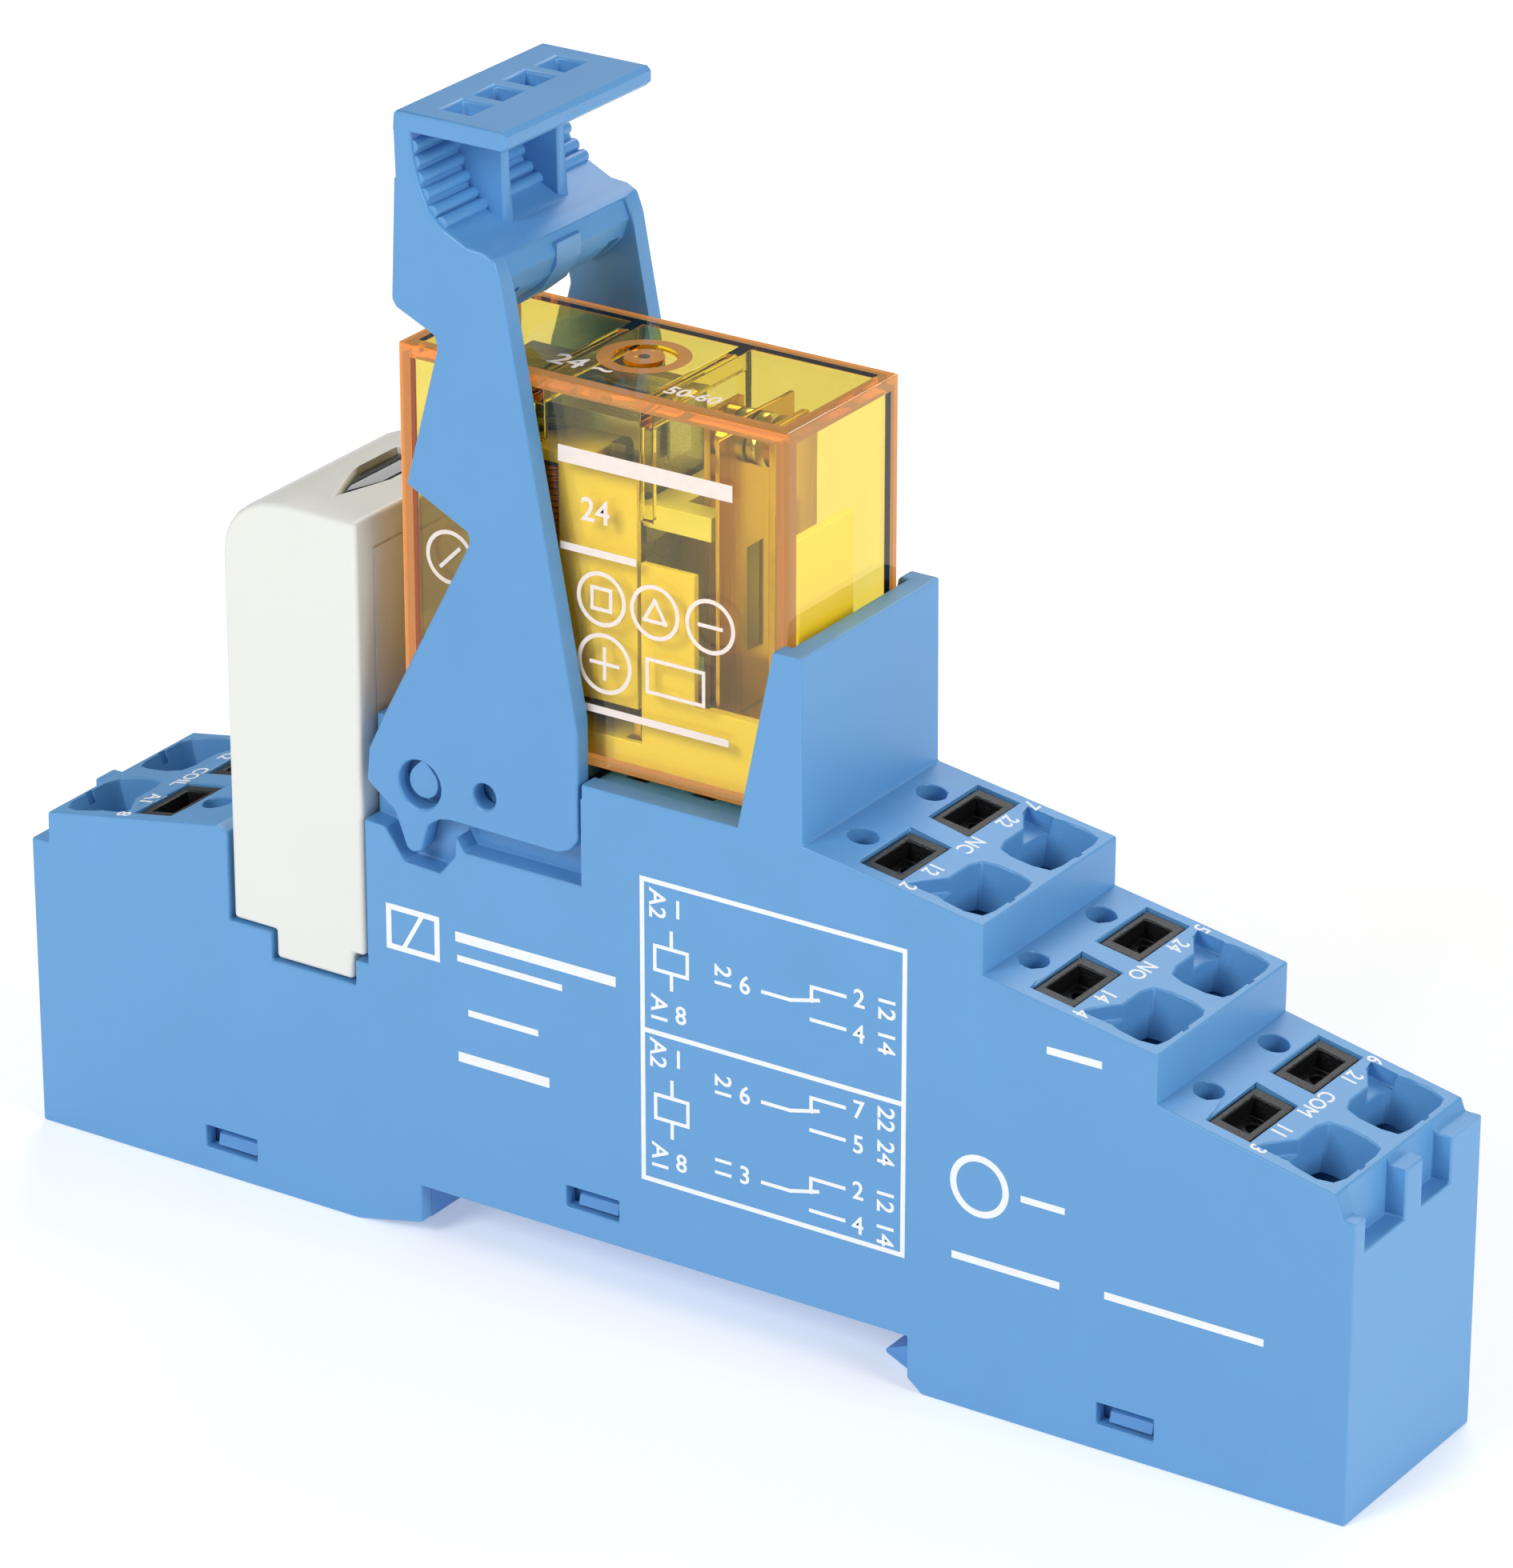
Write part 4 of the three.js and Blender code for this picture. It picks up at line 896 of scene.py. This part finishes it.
def soft_light(name, place, side, power):
    """A square soft box that faces the relay."""
    lamp = bpy.data.lights.new(name, "AREA")
    lamp.shape = "SQUARE"
    lamp.size = side
    lamp.energy = power
    holder = bpy.data.objects.new(name, lamp)
    holder.location = place
    away = Vector(place) - Vector(LIGHT_TARGET)
    holder.rotation_euler = away.to_track_quat("Z", "Y").to_euler()
    bpy.context.scene.collection.objects.link(holder)


def studio_world():
    world = bpy.data.worlds.new("pale_studio")
    world.use_nodes = True
    tree = world.node_tree
    tree.nodes.clear()
    sky = add_node(tree, "ShaderNodeBackground", {
        "Color": (0.98, 0.99, 1.0, 1.0), "Strength": SKY_STRENGTH})
    add_node(tree, "ShaderNodeOutputWorld", {"Surface": sky.outputs["Background"]})
    bpy.context.scene.world = world


CAMERA_PLACE = Vector((0.23449, -0.35156, 0.22204))
CAMERA_TURN = math.radians(33.448)
CAMERA_RISE = math.radians(23.977)
CAMERA_LENS = 168.74


def studio_camera():
    """A long lens from the right and above; its place and angle frame the whole relay."""
    data = bpy.data.cameras.new("studio_camera")
    data.lens = CAMERA_LENS
    data.sensor_width = 36
    camera = bpy.data.objects.new("studio_camera", data)
    right = Vector((math.cos(CAMERA_TURN), math.sin(CAMERA_TURN), 0))
    level = math.cos(CAMERA_RISE)
    back = Vector((math.sin(CAMERA_TURN) * level, -math.cos(CAMERA_TURN) * level,
                   math.sin(CAMERA_RISE)))
    turn = Matrix((right, back.cross(right), back)).transposed()
    camera.matrix_world = Matrix.Translation(CAMERA_PLACE) @ turn.to_4x4()
    bpy.context.scene.collection.objects.link(camera)
    bpy.context.scene.camera = camera
    bpy.context.scene.view_settings.view_transform = "Standard"


# ------------------------------------------------------------------ operators
class RELAY_OT_stage(Operator):
    """Make the floor, the lights and the camera"""
    bl_idname = "relay.stage"
    bl_label = "Stage"

    def execute(self, context):
        studio_floor()
        studio_world()
        for light in SOFT_LIGHTS:
            soft_light(*light)
        studio_camera()
        return {"FINISHED"}


class RELAY_OT_socket(Operator):
    """Finish the socket's housing and the cover under it"""
    bl_idname = "relay.socket"
    bl_label = "Socket"

    def execute(self, context):
        finished_copy("socket_shell", "housing", sizes().socket_edge)
        finished_copy("base_tray", "base_cover", sizes().inner_edge)
        return {"FINISHED"}


class RELAY_OT_labels(Operator):
    """Print the wiring diagram and the terminal numbers"""
    bl_idname = "relay.labels"
    bl_label = "Labels"

    def execute(self, context):
        front_print()
        back_print()
        for terminal, labels in DECK_LABELS.items():
            deck_print(terminal, labels)
        return {"FINISHED"}


class RELAY_OT_terminals(Operator):
    """Finish the release buttons, the wire clamps and the current bars"""
    bl_idname = "relay.terminals"
    bl_label = "Terminals"

    def execute(self, context):
        for terminal in TERMINALS:
            finished_copy("release_button_" + terminal, "push_button_" + terminal,
                          sizes().button_edge)
            clamp_spring(terminal)
            finished_copy("busbar_" + terminal, "current_bar_" + terminal, sizes().strip_edge)
        return {"FINISHED"}


class RELAY_OT_latch(Operator):
    """Finish the rail latch and make its spring"""
    bl_idname = "relay.latch"
    bl_label = "Rail latch"

    def execute(self, context):
        finished_copy("beak_latch", "rail_latch", sizes().inner_edge)
        latch_spring()
        return {"FINISHED"}


class RELAY_OT_clip(Operator):
    """Finish the retaining and ejecting clip"""
    bl_idname = "relay.clip"
    bl_label = "Retaining clip"

    def execute(self, context):
        finished_copy("clip_lever", "retaining_clip", sizes().clip_edge, segments=3)
        return {"FINISHED"}


class RELAY_OT_module(Operator):
    """Finish the indicator module, inside and out"""
    bl_idname = "relay.module"
    bl_label = "Indicator module"

    def execute(self, context):
        finished_copy("module_shell", "module_case", sizes().module_edge, segments=4)
        finished_copy("module_plug", "module_base", sizes().inner_edge)
        finished_copy("smoked_lens", "module_lens", sizes().inner_edge)
        finished_copy("component_board", "module_circuit_board", sizes().strip_edge)
        finished_copy("signal_lamp", "module_indicator_lamp", sizes().strip_edge)
        for pole in ("a1", "a2"):
            finished_copy("module_blade_" + pole, "module_pin_" + pole, sizes().inner_edge)
        return {"FINISHED"}


class RELAY_OT_relay_cover(Operator):
    """Finish the clear cover and print its marks"""
    bl_idname = "relay.relay_cover"
    bl_label = "Clear cover"

    def execute(self, context):
        cover = clean_copy("relay_cover")
        paint_edge_glow_strips(cover)
        piece = stand_for(round_edges(cover, sizes().cover_edge, 2), "clear_cover", "relay_cover")
        # the second slot: the painted orange glow of the edge strips
        piece.data.materials.append(amber_edge_painted_glow())
        cover_front_print()
        cover_top_print()
        return {"FINISHED"}


class RELAY_OT_relay_works(Operator):
    """Finish the relay's magnet, coil and contacts"""
    bl_idname = "relay.relay_works"
    bl_label = "Relay works"

    def execute(self, context):
        mouldings = {"relay_floor": "relay_base", "coil_former": "coil_bobbin",
                     "drive_card": "pusher"}
        for name, node in mouldings.items():
            finished_copy(name, node, sizes().inner_edge)
        coil_winding()
        magnet = {"iron_core": "coil_core", "iron_frame": "magnet_yoke",
                  "hinged_plate": "armature", "plate_spring": "armature_spring"}
        contacts = {"coil_blade_a1": "coil_pin_a1", "coil_blade_a2": "coil_pin_a2",
                    "rest_contact": "normally_closed_contact",
                    "work_contact": "normally_open_contact", "common_foot": "common_terminal",
                    "spring_blade": "moving_contact_blade",
                    "rest_side_button": "moving_contact_closed_side",
                    "work_side_button": "moving_contact_open_side"}
        for name, node in {**magnet, **contacts}.items():
            finished_copy(name, node, sizes().strip_edge)
        return {"FINISHED"}


OPERATORS = (
    RELAY_OT_stage, RELAY_OT_socket, RELAY_OT_labels, RELAY_OT_terminals, RELAY_OT_latch,
    RELAY_OT_clip, RELAY_OT_module, RELAY_OT_relay_cover, RELAY_OT_relay_works,
)


class RELAY_PT_pieces(Panel):
    """Lists the steps that make the relay"""
    bl_idname = "RELAY_PT_pieces"
    bl_label = "Plug-in relay"
    bl_space_type = "VIEW_3D"
    bl_region_type = "UI"
    bl_category = "Relay"

    def draw(self, context):
        for operator in OPERATORS:
            self.layout.operator(operator.bl_idname)
        for group in (context.scene.relay_sizes, context.scene.relay_colours):
            box = self.layout.box()
            for name in group.__annotations__:
                box.prop(group, name)


CLASSES = (RelaySizes, RelayColours, *OPERATORS, RELAY_PT_pieces)


def register():
    for each in CLASSES:
        bpy.utils.register_class(each)
    bpy.types.Scene.relay_sizes = PointerProperty(type=RelaySizes)
    bpy.types.Scene.relay_colours = PointerProperty(type=RelayColours)


def unregister():
    del bpy.types.Scene.relay_colours
    del bpy.types.Scene.relay_sizes
    for each in reversed(CLASSES):
        bpy.utils.unregister_class(each)


def main():
    register()
    bpy.ops.relay.stage()
    bpy.ops.relay.socket()
    bpy.ops.relay.labels()
    bpy.ops.relay.terminals()
    bpy.ops.relay.latch()
    bpy.ops.relay.clip()
    bpy.ops.relay.module()
    bpy.ops.relay.relay_cover()
    bpy.ops.relay.relay_works()


if __name__ == "__main__":
    main()
